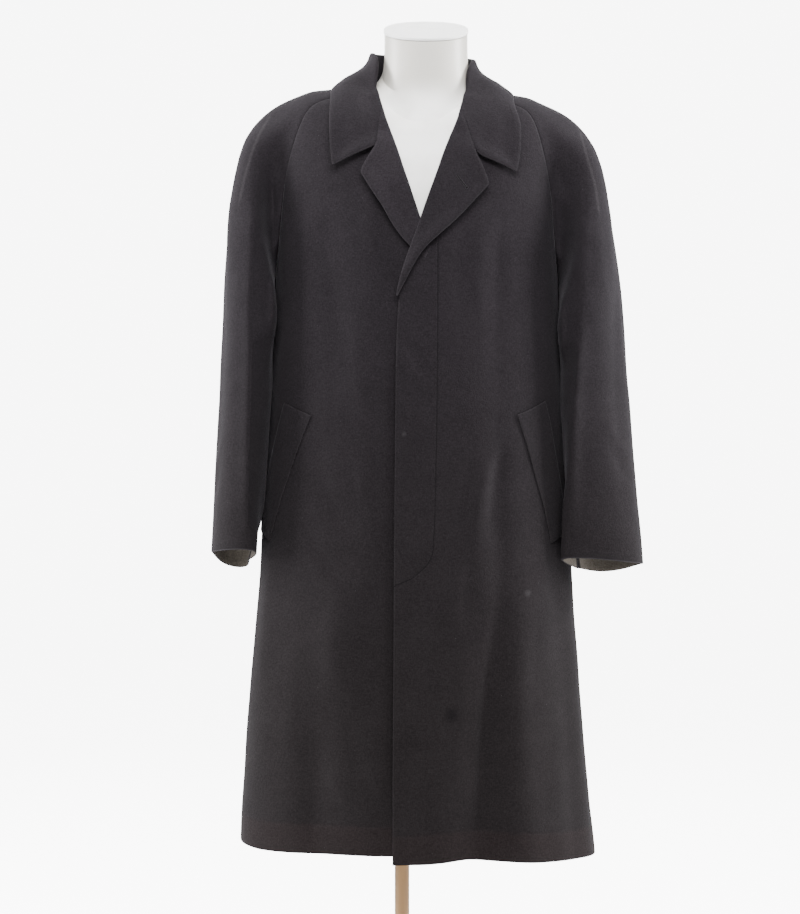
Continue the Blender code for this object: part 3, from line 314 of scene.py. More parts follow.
# Each pair is a ramp, from where its effect starts to where it is whole
UNDERARM = (1.15, 1.05)       # heights: a sleeve moves along its own outward directions
SLEEVE_OWN = (1.25, 1.10)     # heights: its outer and inner sides are told apart by them
LEAN_TURN = (60, 15)          # degrees from the side that faces the coat: it leans on the body
LEAN_TOP = (1.115, 1.045)     # heights: the same
LEAN_FOOT = (.75, .82)
LIFT_REACH = (.024, .001)     # distances from an edge: it stands off
LIFT_FRONT = (.04, .09)       # distances in front of the coat's middle, as the next two
FOLD_FRONT = (.02, .06)
TIP_FRONT = (.04, .08)
TIP_REACH = (1.340, 1.285)    # heights: the collar's tips hang down
FACING = (.02, .35)           # the front's creases by how much it faces forwards, and so for the back's

FACES_COAT = 270              # the turn of a sleeve's side that faces the coat
LEAN_IN = .0050               # how far that side leans in
EDGE_LIFT = .0034             # how far the free edges of the collar and the lapels stand off
TIP_DROP = .0050              # how far the collar's tips hang down


def sleeve_side(node):
    """The side of a sleeve's node, or None for the other nodes."""
    return next((side for side, nodes in SLEEVE_NODES.items() if node in nodes), None)


def coat_outwards(points):
    """Directions away from the coat's middle, turning up over the shoulders."""
    away = np.stack([
        (points[:, 0] - COAT_X) / COAT_HALF[0] ** 2,
        points[:, 1] / COAT_HALF[1] ** 2,
        np.maximum(points[:, 2] - SHOULDER_Z, 0) / SHOULDER_REACH ** 2,
    ], -1)
    return unit(away)


def sleeve_frame(points, side):
    """Directions away from a sleeve's middle, and the turn round it in degrees."""
    table = SLEEVE_MIDDLES[side]
    heights = [middle.z for middle in table]
    x = points[:, 0] - np.interp(points[:, 2], heights, [middle.x for middle in table])
    y = points[:, 1] - np.interp(points[:, 2], heights, [middle.y for middle in table])
    away = unit(np.stack([x, y, np.zeros_like(x)], -1))
    outer = 1 if side == "left" else -1
    return away, np.degrees(np.arctan2(x * outer, -y)) % 360


def outwards_on(node, points):
    """The way outwards on a piece: its own round a sleeve, and the coat's elsewhere."""
    outwards = coat_outwards(points)
    side = sleeve_side(node)
    if side:
        own = ramp(points[:, 2], *SLEEVE_OWN)[:, None]
        outwards = unit(outwards * (1 - own) + sleeve_frame(points, side)[0] * own)
    return outwards


def waves(points):
    """The broad unevenness of the cloth."""
    height = np.zeros(len(points))
    for wave in WAVES:
        run = np.array([wave.x, wave.y, wave.z])
        run = run / np.linalg.norm(run)
        height += wave.height * np.sin(points @ run * 2 * math.pi / wave.length + wave.phase)
    return height


def line_values(points, line):
    """The signed distance from a line of points on the front, and the way along it."""
    best = np.full(len(points), 1e3)
    off = np.zeros(len(points))
    run = np.zeros(len(points))
    passed = 0.0
    for start, end in zip(line, line[1:]):
        length = math.dist(start, end)
        share, side = along_segment(points[:, 0], points[:, 2], start, end)
        held = np.clip(share, 0, 1)
        reach = np.hypot(side, (share - held) * length)
        near = reach < best
        best = np.where(near, reach, best)
        off = np.where(near, np.where(side < 0, -reach, reach), off)
        run = np.where(near, passed + held * length, run)
        passed += length
    return off, run


def line_height(points, line):
    """The height of a long line, which fades at its ends."""
    off, run = line_values(points, line.points)
    total = sum(math.dist(start, end) for start, end in zip(line.points, line.points[1:]))
    swell = ramp(run / total, *LINE_RISE) * ramp(1 - run / total, *LINE_RISE)
    width = np.where(off > 0, line.left, line.right)
    return line.height * swell * np.exp(-(off / width) ** 2 * FALL)


def lift_shift(points, edge):
    """How far the collar's tips and the lapels stand off the fronts along their free edges."""
    height = EDGE_LIFT * ramp(edge, *LIFT_REACH) * ramp(-points[:, 1], *LIFT_FRONT)
    return coat_outwards(points) * height[:, None]


def fold_shift(points, drape):
    """How far the folds between the body and the sleeves move the cloth, straight forwards."""
    height = sum(line_height(points, line) for line in FOLD_LINES) * ramp(-points[:, 1], *FOLD_FRONT)
    return np.stack([np.zeros_like(height), -drape.creases * height, np.zeros_like(height)], -1)


def coat_shift(points, drape, lines=()):
    """How far the body's cloth, and what lies on it, moves."""
    outwards = coat_outwards(points)
    front = ramp(-outwards[:, 1], *FACING)
    back = ramp(outwards[:, 1], *FACING)
    height = drape.waves * waves(points)
    for creases, facing in ((FRONT_CREASES, front), (BACK_CREASES, back)):
        for crease in creases:
            height += drape.creases * facing * crease_height(points[:, 0], points[:, 2], crease)
    for line in lines:
        height += drape.creases * front * line_height(points, line)
    return outwards * height[:, None] + fold_shift(points, drape)


def sleeve_shift(points, side, drape):
    """How far a sleeve's cloth moves."""
    away, turn = sleeve_frame(points, side)
    own = ramp(points[:, 2], *UNDERARM)[:, None]
    shift = unit(coat_outwards(points) * (1 - own) + away * own + 1e-9) * drape.waves * waves(points)[:, None]
    for wrinkle in SLEEVE_WRINKLES[side]:
        near = (turn - wrinkle.turn + 180) % 360 + wrinkle.turn - 180
        height = crease_height(near, points[:, 2], wrinkle, math.radians(SLEEVE_RADIUS))
        shift += drape.creases * height[:, None] * away
    beside_coat = ramp(points[:, 2], *LEAN_TOP) * ramp(points[:, 2], *LEAN_FOOT)
    lean = ramp(abs(turn - FACES_COAT), *LEAN_TURN) * beside_coat
    shift[:, 0] += lean * (-LEAN_IN if side == "left" else LEAN_IN)
    return shift + fold_shift(points, drape)


# Cloth meshes

OUTER, FREE_EDGE, INNER, SEAM, UNMARKED = range(5)   # what a face of the cloth is
RIM_WIDTH = .0026             # a wall's rim is narrower than this
SEAM_REACH = .0008            # another piece this near is sewn on
SEAM_CLOSING = .00024         # how far a sewn rim moves towards the other piece
CUFF_TOP = .80                # free edges of a sleeve below this are its cuff
HEM_TOP = .36                 # free edges below this are the coat's hem
HEM_FACING = -.6              # and their faces look down by more than this
FAR = .2                      # a distance that stands for none
ALLOWANCE = (.009, .011)      # the seam allowances, which show the wool inside
LEAST_DEPTH = .0012           # the least thickness of the cloth away from its rims
MERGE = 1e-5                  # corners nearer than this are one
RIM_AREA = 4e-5               # the quads at a rounded rim are smaller than this
RIM_ANGLE = 62                # a wall's surface is bent by more than this at its cut edges, in degrees
INNER_SHARE = -.05            # the inner side faces outwards with less than this share of its wall
WALL_BEND = 80                # triangles bent by less than this are one quad, in degrees
QUAD_SKEW = 170               # a quad may be as skew as this


@functools.cache
def cad_tree(node):
    """A CAD node's surface, for finding what lies near it."""
    bm = bmesh.new()
    bm.from_mesh(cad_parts[node].data)
    tree = BVHTree.FromBMesh(bm)
    bm.free()
    return tree


def near_other_cloth(node, place):
    """Whether another piece of cloth is sewn on at this place."""
    return any(other != node and cad_tree(other).find_nearest(place, SEAM_REACH)[0] is not None
               for other in CUTS)


def mark_sides(bm, node, sharp):
    """Part a wall's faces into its outer side, its inner side, its free edges and its seams."""
    for face in bm.faces:
        face.material_index = UNMARKED
    for face in bm.faces:
        short = min(edge.calc_length() for edge in face.edges) < RIM_WIDTH
        if short and sum(edge in sharp for edge in face.edges) >= 2:
            sewn = all(near_other_cloth(node, vert.co) for vert in face.verts)
            face.material_index = SEAM if sewn else FREE_EDGE
    whole = sum(face.calc_area() for face in bm.faces)
    for first in bm.faces:
        if first.material_index != UNMARKED:
            continue
        side = [first]
        first.material_index = OUTER
        for face in side:
            for edge in face.edges:
                for near in edge.link_faces:
                    if near.material_index == UNMARKED and edge not in sharp:
                        near.material_index = OUTER
                        side.append(near)
        places = np.array([face.calc_center_median() for face in side])
        outwards = outwards_on(node, places)
        facing = sum(face.calc_area() * face.normal.dot(Vector(away)) for face, away in zip(side, outwards))
        if facing < INNER_SHARE * whole and node not in FOLDED:
            for face in side:
                face.material_index = INNER


def joined_quads(node, face_angle):
    """A CAD solid with its triangles joined into quads."""
    bm = bmesh.new()
    bm.from_mesh(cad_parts[node].data)
    bmesh.ops.remove_doubles(bm, verts=bm.verts, dist=MERGE)
    bmesh.ops.join_triangles(bm, faces=bm.faces, angle_face_threshold=math.radians(face_angle),
                             angle_shape_threshold=math.radians(QUAD_SKEW))
    return bm


def sharp_edges(bm, angle):
    """The edges that are bent by more than an angle, in degrees."""
    return [edge for edge in bm.edges if edge.is_manifold and edge.calc_face_angle() > math.radians(angle)]


def round_edges(bm, edges, width):
    """Round edges a little."""
    bmesh.ops.bevel(bm, geom=edges, offset=width, segments=2, profile=.5, affect="EDGES", material=-1,
                    clamp_overlap=True)


def quad_copy(node, edge_round):
    """A CAD wall as quads, its faces marked and its cut edges rounded."""
    bm = joined_quads(node, WALL_BEND)
    bm.normal_update()
    rim = sharp_edges(bm, RIM_ANGLE)
    mark_sides(bm, node, set(rim))
    round_edges(bm, rim, edge_round)
    return bm


def evaluated_mesh(bm, name, levels, limit):
    """The mesh with a Subdivision Surface applied."""
    base = bpy.data.meshes.new(name + "_base")
    bm.to_mesh(base)
    holder = link_object(name + "_base", base)
    smooth = holder.modifiers.new("smooth", "SUBSURF")
    smooth.levels = smooth.render_levels = levels
    smooth.use_limit_surface = limit
    bpy.context.view_layer.update()
    mesh = bpy.data.meshes.new_from_object(holder.evaluated_get(bpy.context.evaluated_depsgraph_get()))
    bpy.data.objects.remove(holder)
    bpy.data.meshes.remove(base)
    return mesh


def points_of(mesh):
    """A mesh's vertices as rows of numbers."""
    points = np.empty(len(mesh.vertices) * 3)
    mesh.vertices.foreach_get("co", points)
    return points.reshape(-1, 3)


def keep_size(bm, name):
    """Move the control points out along their normals, so that the smooth surface passes through them."""
    mesh = evaluated_mesh(bm, name, 1, True)
    smooth = points_of(mesh)
    bpy.data.meshes.remove(mesh)
    bm.verts.ensure_lookup_table()
    bm.normal_update()
    near_rim = {vert.index for face in bm.faces if face.calc_area() < RIM_AREA for vert in face.verts}
    for vert in bm.verts:
        if vert.index not in near_rim:
            gap = vert.co - Vector(smooth[vert.index])
            vert.co += vert.normal * gap.dot(vert.normal)


def distances_to(mesh, kind, below=math.inf, up=1.0):
    """How far each vertex lies from the faces of one kind that are low enough and don't face up too much."""
    near = {index for face in mesh.polygons
            if face.material_index == kind and face.center.z < below and face.normal.z < up
            for index in face.vertices}
    if not near:
        return np.full(len(mesh.vertices), FAR)
    tree = KDTree(len(near))
    for index in sorted(near):
        tree.insert(mesh.vertices[index].co, index)
    tree.balance()
    return np.array([tree.find(vert.co)[2] for vert in mesh.vertices])


def side_values(mesh):
    """1 at the vertices of the inner side, and 0 at the others."""
    values = np.ones(len(mesh.vertices))
    for face in mesh.polygons:
        if face.material_index != INNER:
            values[list(face.vertices)] = 0
    return values


def close_seams(mesh):
    """Press the seams shut: each rim that is sewn moves out over half of the gap and a little more."""
    ways = {}
    for face in mesh.polygons:
        if face.material_index == SEAM:
            for index in face.vertices:
                ways[index] = ways.get(index, Vector()) + face.normal
    for index, way in ways.items():
        mesh.vertices[index].co += way.normalized() * SEAM_CLOSING


def keep_thickness(mesh, inside):
    """Keep the inner side a cloth's thickness behind the outer one."""
    bm = bmesh.new()
    bm.from_mesh(mesh)
    others = [face for face in bm.faces if face.material_index != OUTER]
    bmesh.ops.delete(bm, geom=others, context="FACES_ONLY")
    outer = BVHTree.FromBMesh(bm)
    bm.free()
    for index in np.flatnonzero(inside):
        vert = mesh.vertices[index]
        near, normal, _, _ = outer.find_nearest(vert.co)
        depth = (near - vert.co).dot(normal)
        if depth < LEAST_DEPTH:
            vert.co -= normal * (LEAST_DEPTH - depth)


def add_values(mesh, name, values):
    """Numbers at a mesh's points, for its material to read."""
    layer = mesh.attributes.new(name, "FLOAT", "POINT")
    layer.data.foreach_set("value", np.asarray(values, "f"))


def link_object(name, data):
    """Put a mesh, a light or a camera into the scene."""
    made = bpy.data.objects.new(name, data)
    bpy.context.scene.collection.objects.link(made)
    return made


def add_piece(name, mesh, materials, node=None):
    """Put a mesh into the scene as a piece of the part, in place of its CAD node if it has one."""
    for material in materials:
        mesh.materials.append(material)
    mesh.shade_smooth()
    mesh.name = name
    piece = link_object(name, mesh)
    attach(piece, "root")
    if node:
        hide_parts(node)
    return piece


def cloth_shift(node, points, drape):
    """How far a piece of cloth moves."""
    side = sleeve_side(node)
    return sleeve_shift(points, side, drape) if side else coat_shift(points, drape, FRONT_LINES.get(node, ()))


def make_cloth(scene, node, name, rests_on, fine=False, **look):
    """One finished piece of cloth, in place of its CAD node. look goes to its wool_material."""
    drape = scene.coat_drape
    side = sleeve_side(node)
    bm = quad_copy(node, drape.edge_round)
    keep_size(bm, name)
    mesh = evaluated_mesh(bm, name, drape.fine_levels if fine else drape.plain_levels, False)
    bm.free()
    inside = side_values(mesh)
    close_seams(mesh)
    keep_thickness(mesh, inside)
    points = points_of(mesh)
    edge = distances_to(mesh, FREE_EDGE, CUFF_TOP if side else math.inf)
    seam = distances_to(mesh, SEAM)
    values = {"edge_distance": edge, "seam_distance": seam,
              "hem_distance": distances_to(mesh, FREE_EDGE, HEM_TOP, HEM_FACING),
              "inside": inside * ramp(seam, *ALLOWANCE)}
    if node == "front_left":
        values["fly_off"], values["fly_run"] = line_values(points, FLY_LINE)
    if side:
        off = line_values(points, SHOULDER_HIGHLIGHT_LINES[side])[0]
        values["shoulder_highlight_off"] = off if node.endswith("_front") else np.full_like(off, FAR)
    for name_of_values, numbers in values.items():
        add_values(mesh, name_of_values, numbers)
    moved = points + cloth_shift(node, points, drape)
    if node in FOLDED:
        moved += lift_shift(points, edge)
    if node == "collar":
        moved[:, 2] -= TIP_DROP * ramp(points[:, 2], *TIP_REACH) * ramp(-points[:, 1], *TIP_FRONT)
    mesh.vertices.foreach_set("co", moved.ravel())
    mesh.polygons.foreach_set("material_index", np.zeros(len(mesh.polygons), "i"))
    mesh.update()
    material = wool_material(name + "_wool", scene.coat_wool, scene.coat_sewing, **look)
    piece = add_piece(name, mesh, [material], node)


# Shader nodes

class Nodes:
    """One shader tree. A value is a number, a colour or another node's socket."""

    def __init__(self, tree):
        self.tree = tree

    def feed(self, socket, value):
        """Link a socket, or set a plain value."""
        if isinstance(value, bpy.types.NodeSocket):
            self.tree.links.new(value, socket)
        else:
            socket.default_value = value

    def node(self, kind, inputs=(), **settings):
        """The outputs of a new node."""
        node = self.tree.nodes.new("ShaderNode" + kind)
        for name, value in settings.items():
            setattr(node, name, value)
        for name, value in dict(inputs).items():
            self.feed(node.inputs[name], value)
        return node.outputs

    def math(self, operation, *values):
        """The result of a Math node."""
        return self.node("Math", enumerate(values), operation=operation)[0]

    def times(self, first, second):
        """A product."""
        return self.math("MULTIPLY", first, second)

    def plus(self, first, *others):
        """A sum."""
        for other in others:
            first = self.math("ADD", first, other)
        return first

    def step(self, value, low, high, start=0.0, end=1.0):
        """A smooth step from start to end."""
        ends = {"Value": value, "From Min": low, "From Max": high, "To Min": start, "To Max": end}
        return self.node("MapRange", ends, interpolation_type="SMOOTHSTEP")["Result"]

    def noise(self, vector, scale, detail=2.0, roughness=.5):
        """A Noise Texture's value."""
        return self.node("TexNoise", {"Vector": vector, "Scale": scale, "Detail": detail,
                                      "Roughness": roughness})["Fac"]

    def stretch(self, vector, scale):
        """A stretched vector."""
        return self.node("Mapping", {"Vector": vector, "Scale": scale})["Vector"]

    def split(self, vector):
        """The X, Y and Z of a vector."""
        return self.node("SeparateXYZ", {0: vector})

    def mix(self, share, first, second, blend="MIX"):
        """A mixed colour."""
        return self.node("Mix", {"Factor": share, 6: first, 7: second}, data_type="RGBA", blend_type=blend)[2]

    def dye(self, colour, mask, strength, tint):
        """A colour that is tinted where the mask is."""
        return self.mix(self.times(mask, strength), colour, tint)

    def group(self, name, **values):
        """The outputs of a shared group, which is made the first time that it is asked for."""
        node = self.tree.nodes.new("ShaderNodeGroup")
        node.node_tree = bpy.data.node_groups.get(name) or GROUPS[name]()
        for socket, value in values.items():
            self.feed(node.inputs[socket.replace("_", " ")], value)
        return node.outputs


class Group(Nodes):
    """A new shared group. An input's default is a number, or None for a vector."""

    def __init__(self, name, inputs, outputs):
        super().__init__(bpy.data.node_groups.new(name, "ShaderNodeTree"))
        for socket, default in inputs.items():
            kind = "NodeSocketVector" if default is None else "NodeSocketFloat"
            made = self.tree.interface.new_socket(socket, in_out="INPUT", socket_type=kind)
            if default is not None:
                made.default_value = default
        for socket in outputs:
            self.tree.interface.new_socket(socket, in_out="OUTPUT", socket_type="NodeSocketFloat")
        self.given = self.tree.nodes.new("NodeGroupInput").outputs
        self.out = self.tree.nodes.new("NodeGroupOutput").inputs

    def give(self, **results):
        """Feed the group's outputs."""
        for name, value in results.items():
            self.feed(self.out[name], value)
        return self.tree


class Material(Nodes):
    """A new material, with its shader and the object's own coordinates."""

    def __init__(self, name):
        self.material = bpy.data.materials.new(name)
        self.material.use_nodes = True
        super().__init__(self.material.node_tree)
        self.shader = self.tree.nodes["Principled BSDF"].inputs
        self.place = self.node("TexCoord")["Object"]

    def point_value(self, name):
        """A piece's own numbers."""
        return self.node("Attribute", attribute_name=name)["Fac"]

    def shade(self, **values):
        """Feed the shader."""
        for socket, value in values.items():
            self.feed(self.shader[socket.replace("_", " ")], value)

    def bump(self, height):
        """Feed heights in metres to the shader's normal."""
        self.shade(Normal=self.node("Bump", {"Distance": 1, "Strength": 1, "Height": height})["Normal"])


def wool_nap_group():
    """Tufts, fibres and slow mottling of a napped wool."""
    made = Group("wool_nap", {"Place": None, "Tuft size": .0016, "Tuft height": .0002},
                 ("Tone", "Fleck", "Lint", "Height"))
    place = made.given["Place"]
    per_tuft = made.math("DIVIDE", 1.0, made.given["Tuft size"])
    tufts = made.noise(made.stretch(place, (1, 1, .55)), per_tuft, 3, .6)
    fibres = made.noise(made.stretch(place, (1, 1, .22)), made.times(per_tuft, 2.6), 2, .6)
    clouds = made.noise(place, 22.0, 3, .5)
    grain = made.noise(made.stretch(place, (1, 1, 2.4)), made.times(per_tuft, .42), 2, .5)
    tone = made.times(clouds, .18)
    for layer, share in ((tufts, .62), (grain, .46), (fibres, .44)):
        tone = made.math("MULTIPLY_ADD", layer, share, tone)
    height = tufts
    for layer, share in ((fibres, .45), (grain, .55)):
        height = made.math("MULTIPLY_ADD", layer, share, height)
    cells = made.node("TexVoronoi", {"Vector": place, "Scale": 95})
    chosen = made.step(made.split(cells["Color"])["X"], .70, .95)
    return made.give(Tone=made.step(tone, .55, 1.15, .66, 1.34), Fleck=made.step(fibres, .66, .80),
                     Lint=made.times(made.step(cells["Distance"], .030, .075, 1, 0), chosen),
                     Height=made.times(height, made.given["Tuft height"]))


def cloth_edge_group():
    """The roll of a turned and pressed edge, with a painted highlight along it where its fuzz catches the
    light, and the faint step of its seam allowance.
    """
    made = Group("cloth_edge", {"Distance": .05, "Roll": .004, "Height": .0006, "Allowance": .009},
                 ("Pale", "Height"))
    distance = made.given["Distance"]
    allowance = made.given["Allowance"]
    relief = made.plus(made.step(distance, 0.0, made.given["Roll"]),
                       made.step(distance, allowance, made.plus(allowance, .005), 0, -.55))
    # Pale is a painted highlight along the edge
    return made.give(Pale=made.step(distance, .0004, .0022, 1, 0),
                     Height=made.times(relief, made.given["Height"]))


def sewn_seam_group():
    """The fine groove of a pressed seam, with the soft swell of its allowances beside it."""
    made = Group("sewn_seam", {"Distance": .05, "Height": .0003}, ("Dark", "Height"))
    distance = made.given["Distance"]
    groove = made.step(distance, .0002, .0024, -1, 0)
    swell = made.times(made.step(distance, .001, .005), made.step(distance, .006, .016, .55, 0))
    return made.give(Dark=made.step(distance, .0003, .0013, 1, 0),
                     Height=made.times(made.plus(groove, swell), made.given["Height"]))


def hem_dents_and_bounce_group():
    """A band of painted light bounced from the floor, as deep as the turned-up hem, and the faint dents of
    the hem's stitches.
    """
    made = Group("turned_hem", {"Distance": .2, "Place": None, "Depth": .04}, ("Band", "Height"))
    ragged = made.math("MULTIPLY_ADD", made.noise(made.given["Place"], 60.0), .006, -.003)
    past = made.plus(made.math("SUBTRACT", made.given["Distance"], made.given["Depth"]), ragged)
    dent = made.step(made.math("ABSOLUTE", past), 0.0, .0035, -1, 0)
    return made.give(Band=made.step(past, -.005, .004, 1, 0), Height=made.times(dent, .00035))


def stitch_line_group():
    """A stitched line: a groove with a stitch in it every few millimetres."""
    made = Group("stitch_line", {"Off": 1, "Run": 0, "Half width": .001, "Depth": .0007, "Stitch": .003},
                 ("Dark", "Height"))
    off = made.math("ABSOLUTE", made.given["Off"])
    half = made.given["Half width"]
    groove = made.step(off, 0.0, made.times(half, 2.0), 1, 0)
    thread = made.step(off, 0.0, made.times(half, .5), 1, 0)
    beat = made.math("FRACT", made.math("DIVIDE", made.given["Run"], made.given["Stitch"]))
    dash = made.step(made.math("ABSOLUTE", made.math("SUBTRACT", beat, .5)), .30, .46, 1, 0)
    pucker = made.times(made.step(off, 0.0, .008, 1, 0), made.times(dash, .12))
    height = made.math("MULTIPLY_ADD", made.times(thread, dash), .35, made.math("SUBTRACT", pucker, groove))
    return made.give(Dark=made.step(off, 0.0, half, 1, 0), Height=made.times(height, made.given["Depth"]))


def cloth_mark_group():
    """A soft round mark on the cloth, seen from the front."""
    made = Group("cloth_mark", {"Place": None, "X": 0, "Z": 0, "Radius": .005}, ("Mask",))
    place = made.given["Place"]
    radius = made.given["Radius"]
    parts = made.split(place)
    reach = made.math("SQRT", made.plus(*(
        made.math("POWER", made.math("SUBTRACT", parts[axis], made.given[axis]), 2.0) for axis in "XZ")))
    ragged = made.times(made.noise(place, 420.0, 2, .6), .5)
    reach = made.math("MULTIPLY_ADD", radius, ragged, reach)
    return made.give(Mask=made.step(reach, made.times(radius, .35), made.times(radius, 1.35), 1, 0))


def worn_surface_group():
    """The faint unevenness and handling marks of a hard surface."""
    made = Group("worn_surface", {"Place": None, "Size": .02, "Height": .0001}, ("Smudge", "Speck", "Height"))
    place = made.given["Place"]
    scale = made.math("DIVIDE", 1.0, made.given["Size"])
    broad = made.noise(place, scale, 4, .55)
    fine = made.noise(place, made.times(scale, 14.0))
    relief = made.math("MULTIPLY_ADD", fine, .35, broad)
    return made.give(Smudge=made.step(broad, .42, .72), Speck=made.step(fine, .68, .78),
                     Height=made.times(relief, made.given["Height"]))


GROUPS = {"wool_nap": wool_nap_group, "cloth_edge": cloth_edge_group, "sewn_seam": sewn_seam_group,
          "turned_hem": hem_dents_and_bounce_group, "stitch_line": stitch_line_group, "cloth_mark": cloth_mark_group,
          "worn_surface": worn_surface_group}

# Materials

SKIRT_SHADE_HEIGHTS = (.45, 1.20)      # painted shade: the wool is a little darker and browner below, where less light falls, and even above
SKIRT_SHADE_TINT = (.86, .86, .76)
# painted light: the band along the hem is warmer, for light bounced up from the floor
HEM_BOUNCE_TINT = (1.02, .93, .80)
EDGE_HIGHLIGHT = (.040, .037, .040, 1)
MARK_PALE = (.055, .052, .055, 1)
MARK_DARK = (.003, .0026, .003, 1)
Dye = namedtuple("Dye", "strength tint")
FLECKS = Dye(.22, (.045, .042, .046, 1))
LINT = Dye(.30, (.075, .070, .075, 1))
SEAM_DARK = Dye(.22, (.0030, .0026, .0030, 1))
FLY_DARK = Dye(.62, (.0022, .0018, .0022, 1))
SHOULDER_HIGHLIGHT_DYE = Dye(.24, (.036, .033, .035, 1))


def tinted(colour, tint):
    """A colour times a tint, for a shader's socket."""
    return (*(channel * share for channel, share in zip(colour, tint)), 1)


def wool_material(name, wool, sewing, roll=.0035, allowance=.009, pale=.10, hem=.040, nap_turn=1, fly=False,
                  shoulder=False):
    """Napped charcoal wool, with its turned edges and, on the over front, the fly's stitches and marks."""
    cloth = Material(name)
    nap = cloth.group("wool_nap", Place=cloth.place, Tuft_size=wool.nap_size, Tuft_height=wool.nap_height)
    edge = cloth.group("cloth_edge", Distance=cloth.point_value("edge_distance"), Roll=roll,
                       Allowance=allowance)
    seam = cloth.group("sewn_seam", Distance=cloth.point_value("seam_distance"))
    turned = cloth.group("turned_hem", Distance=cloth.point_value("hem_distance"), Place=cloth.place,
                         Depth=hem)
    height = cloth.plus(*(layer["Height"] for layer in (nap, edge, seam, turned)))
    # painted shade: the wool darkens and browns towards the bottom, where less light falls
    skirt_shade = cloth.step(cloth.split(cloth.place)["Z"], *SKIRT_SHADE_HEIGHTS)
    # nap_turn brightens a whole piece, as painted light
    colour = cloth.mix(skirt_shade, tinted(wool.colour, SKIRT_SHADE_TINT), tinted(wool.colour, (nap_turn,) * 3))
    # painted light bounced from the floor, on the band along the hem
    colour = cloth.mix(turned["Band"], colour, tinted(wool.colour, HEM_BOUNCE_TINT))
    # the inner side: partly a paler lining, partly painted light bounced up from the floor
    colour = cloth.mix(cloth.point_value("inside"), colour, (*wool.inner_colour_and_bounce, 1))
    tone = cloth.node("CombineColor", {channel: nap["Tone"] for channel in range(3)})[0]
    colour = cloth.mix(1.0, colour, tone, "MULTIPLY")
    colour = cloth.dye(colour, nap["Fleck"], *FLECKS)
    colour = cloth.dye(colour, nap["Lint"], *LINT)
    # painted highlight along the free edges
    colour = cloth.dye(colour, edge["Pale"], pale, EDGE_HIGHLIGHT)
    colour = cloth.dye(colour, seam["Dark"], *SEAM_DARK)
    if fly:
        line = cloth.group("stitch_line", Off=cloth.point_value("fly_off"), Run=cloth.point_value("fly_run"),
                           Half_width=sewing.groove_width, Depth=sewing.groove_depth,
                           Stitch=sewing.stitch_length)
        height = cloth.plus(height, line["Height"])
        colour = cloth.dye(colour, line["Dark"], *FLY_DARK)
        for mark in MARKS:
            spot = cloth.group("cloth_mark", Place=cloth.place, X=mark.x, Z=mark.z, Radius=mark.radius)
            tint = MARK_PALE if mark.strength > 0 else MARK_DARK
            colour = cloth.dye(colour, spot["Mask"], abs(mark.strength), tint)
    # painted highlight along the pressed overarm seam at the shoulder
    if shoulder:
        off = cloth.math("ABSOLUTE", cloth.point_value("shoulder_highlight_off"))
        highlight_line = cloth.times(cloth.step(off, .0003, .0034, 1, 0), nap["Tone"])
        colour = cloth.dye(colour, highlight_line, *SHOULDER_HIGHLIGHT_DYE)
    cloth.shade(Base_Color=colour, Roughness=cloth.step(nap["Tone"], .7, 1.3, .96, .84),
                Specular_IOR_Level=.06, Sheen_Weight=wool.sheen, Sheen_Roughness=.42,
                Sheen_Tint=(.80, .77, .84, 1))
    cloth.bump(height)
    return cloth.material


# Hard surfaces: the colour of their handling marks, the size and height of their unevenness, their
# roughness, how much rougher the marks are, and the unevenness's stretch
Surface = namedtuple("Surface", "dark size height roughness rougher stretch", defaults=((1, 1, 1),))
SURFACES = {
    "buttonhole_twist": Surface((.007, .006, .007), .002, .00003, .7, .2),
    "buttonhole_slit": Surface((.001, .001, .001), .002, .00001, .9, .05),
    "form_shell": Surface((.70, .685, .65), .05, .00012, .42, .10),
    "form_cap": Surface((.72, .72, .70), .03, .00006, .36, .10),
    "pole_wood": Surface((.155, .075, .026), .006, .00008, .42, .14, (1, 1, .06)),
    "stand_steel": Surface((.42, .42, .41), .012, .00002, .28, .16),
}


def hard_material(name, colour):
    """A hard surface whose colour and gloss change a little over it."""
    hard = Material(name)
    look = SURFACES[name]
    wear = hard.group("worn_surface", Place=hard.stretch(hard.place, look.stretch), Size=look.size,
                      Height=look.height)
    shade = (*colour, 1)
    for mark, strength in (("Smudge", .5), ("Speck", .25)):
        shade = hard.dye(shade, wear[mark], strength, (*look.dark, 1))
    rough = hard.step(wear["Smudge"], 0.0, 1.0, look.roughness, look.roughness + look.rougher)
    hard.shade(Base_Color=shade, Roughness=rough)
    hard.bump(wear["Height"])
    return hard


# Operators

class COAT_OT_fronts(bpy.types.Operator):
    """Make the two fronts"""
    bl_idname = "coat.fronts"
    bl_label = "Fronts"

    def execute(self, context):
        make_cloth(context.scene, "front_left", "over_front", ["torso_form"], fine=True, fly=True)
        make_cloth(context.scene, "front_right", "under_front", ["torso_form"], fine=True)
        return {"FINISHED"}


class COAT_OT_back(bpy.types.Operator):
    """Make the back"""
    bl_idname = "coat.back"
    bl_label = "Back"

    def execute(self, context):
        make_cloth(context.scene, "back", "coat_back", ["torso_form"])
        return {"FINISHED"}


class COAT_OT_sleeves(bpy.types.Operator):
    """Make the four sleeve pieces"""
    bl_idname = "coat.sleeves"
    bl_label = "Sleeves"

    def execute(self, context):
        for node in SLEEVE_NODES["left"] + SLEEVE_NODES["right"]:
            # a stronger painted highlight along the cuffs' edges
            make_cloth(context.scene, node, node + "_piece", ["torso_form"], fine=True, pale=.45, hem=0,
                       shoulder=True)
        return {"FINISHED"}


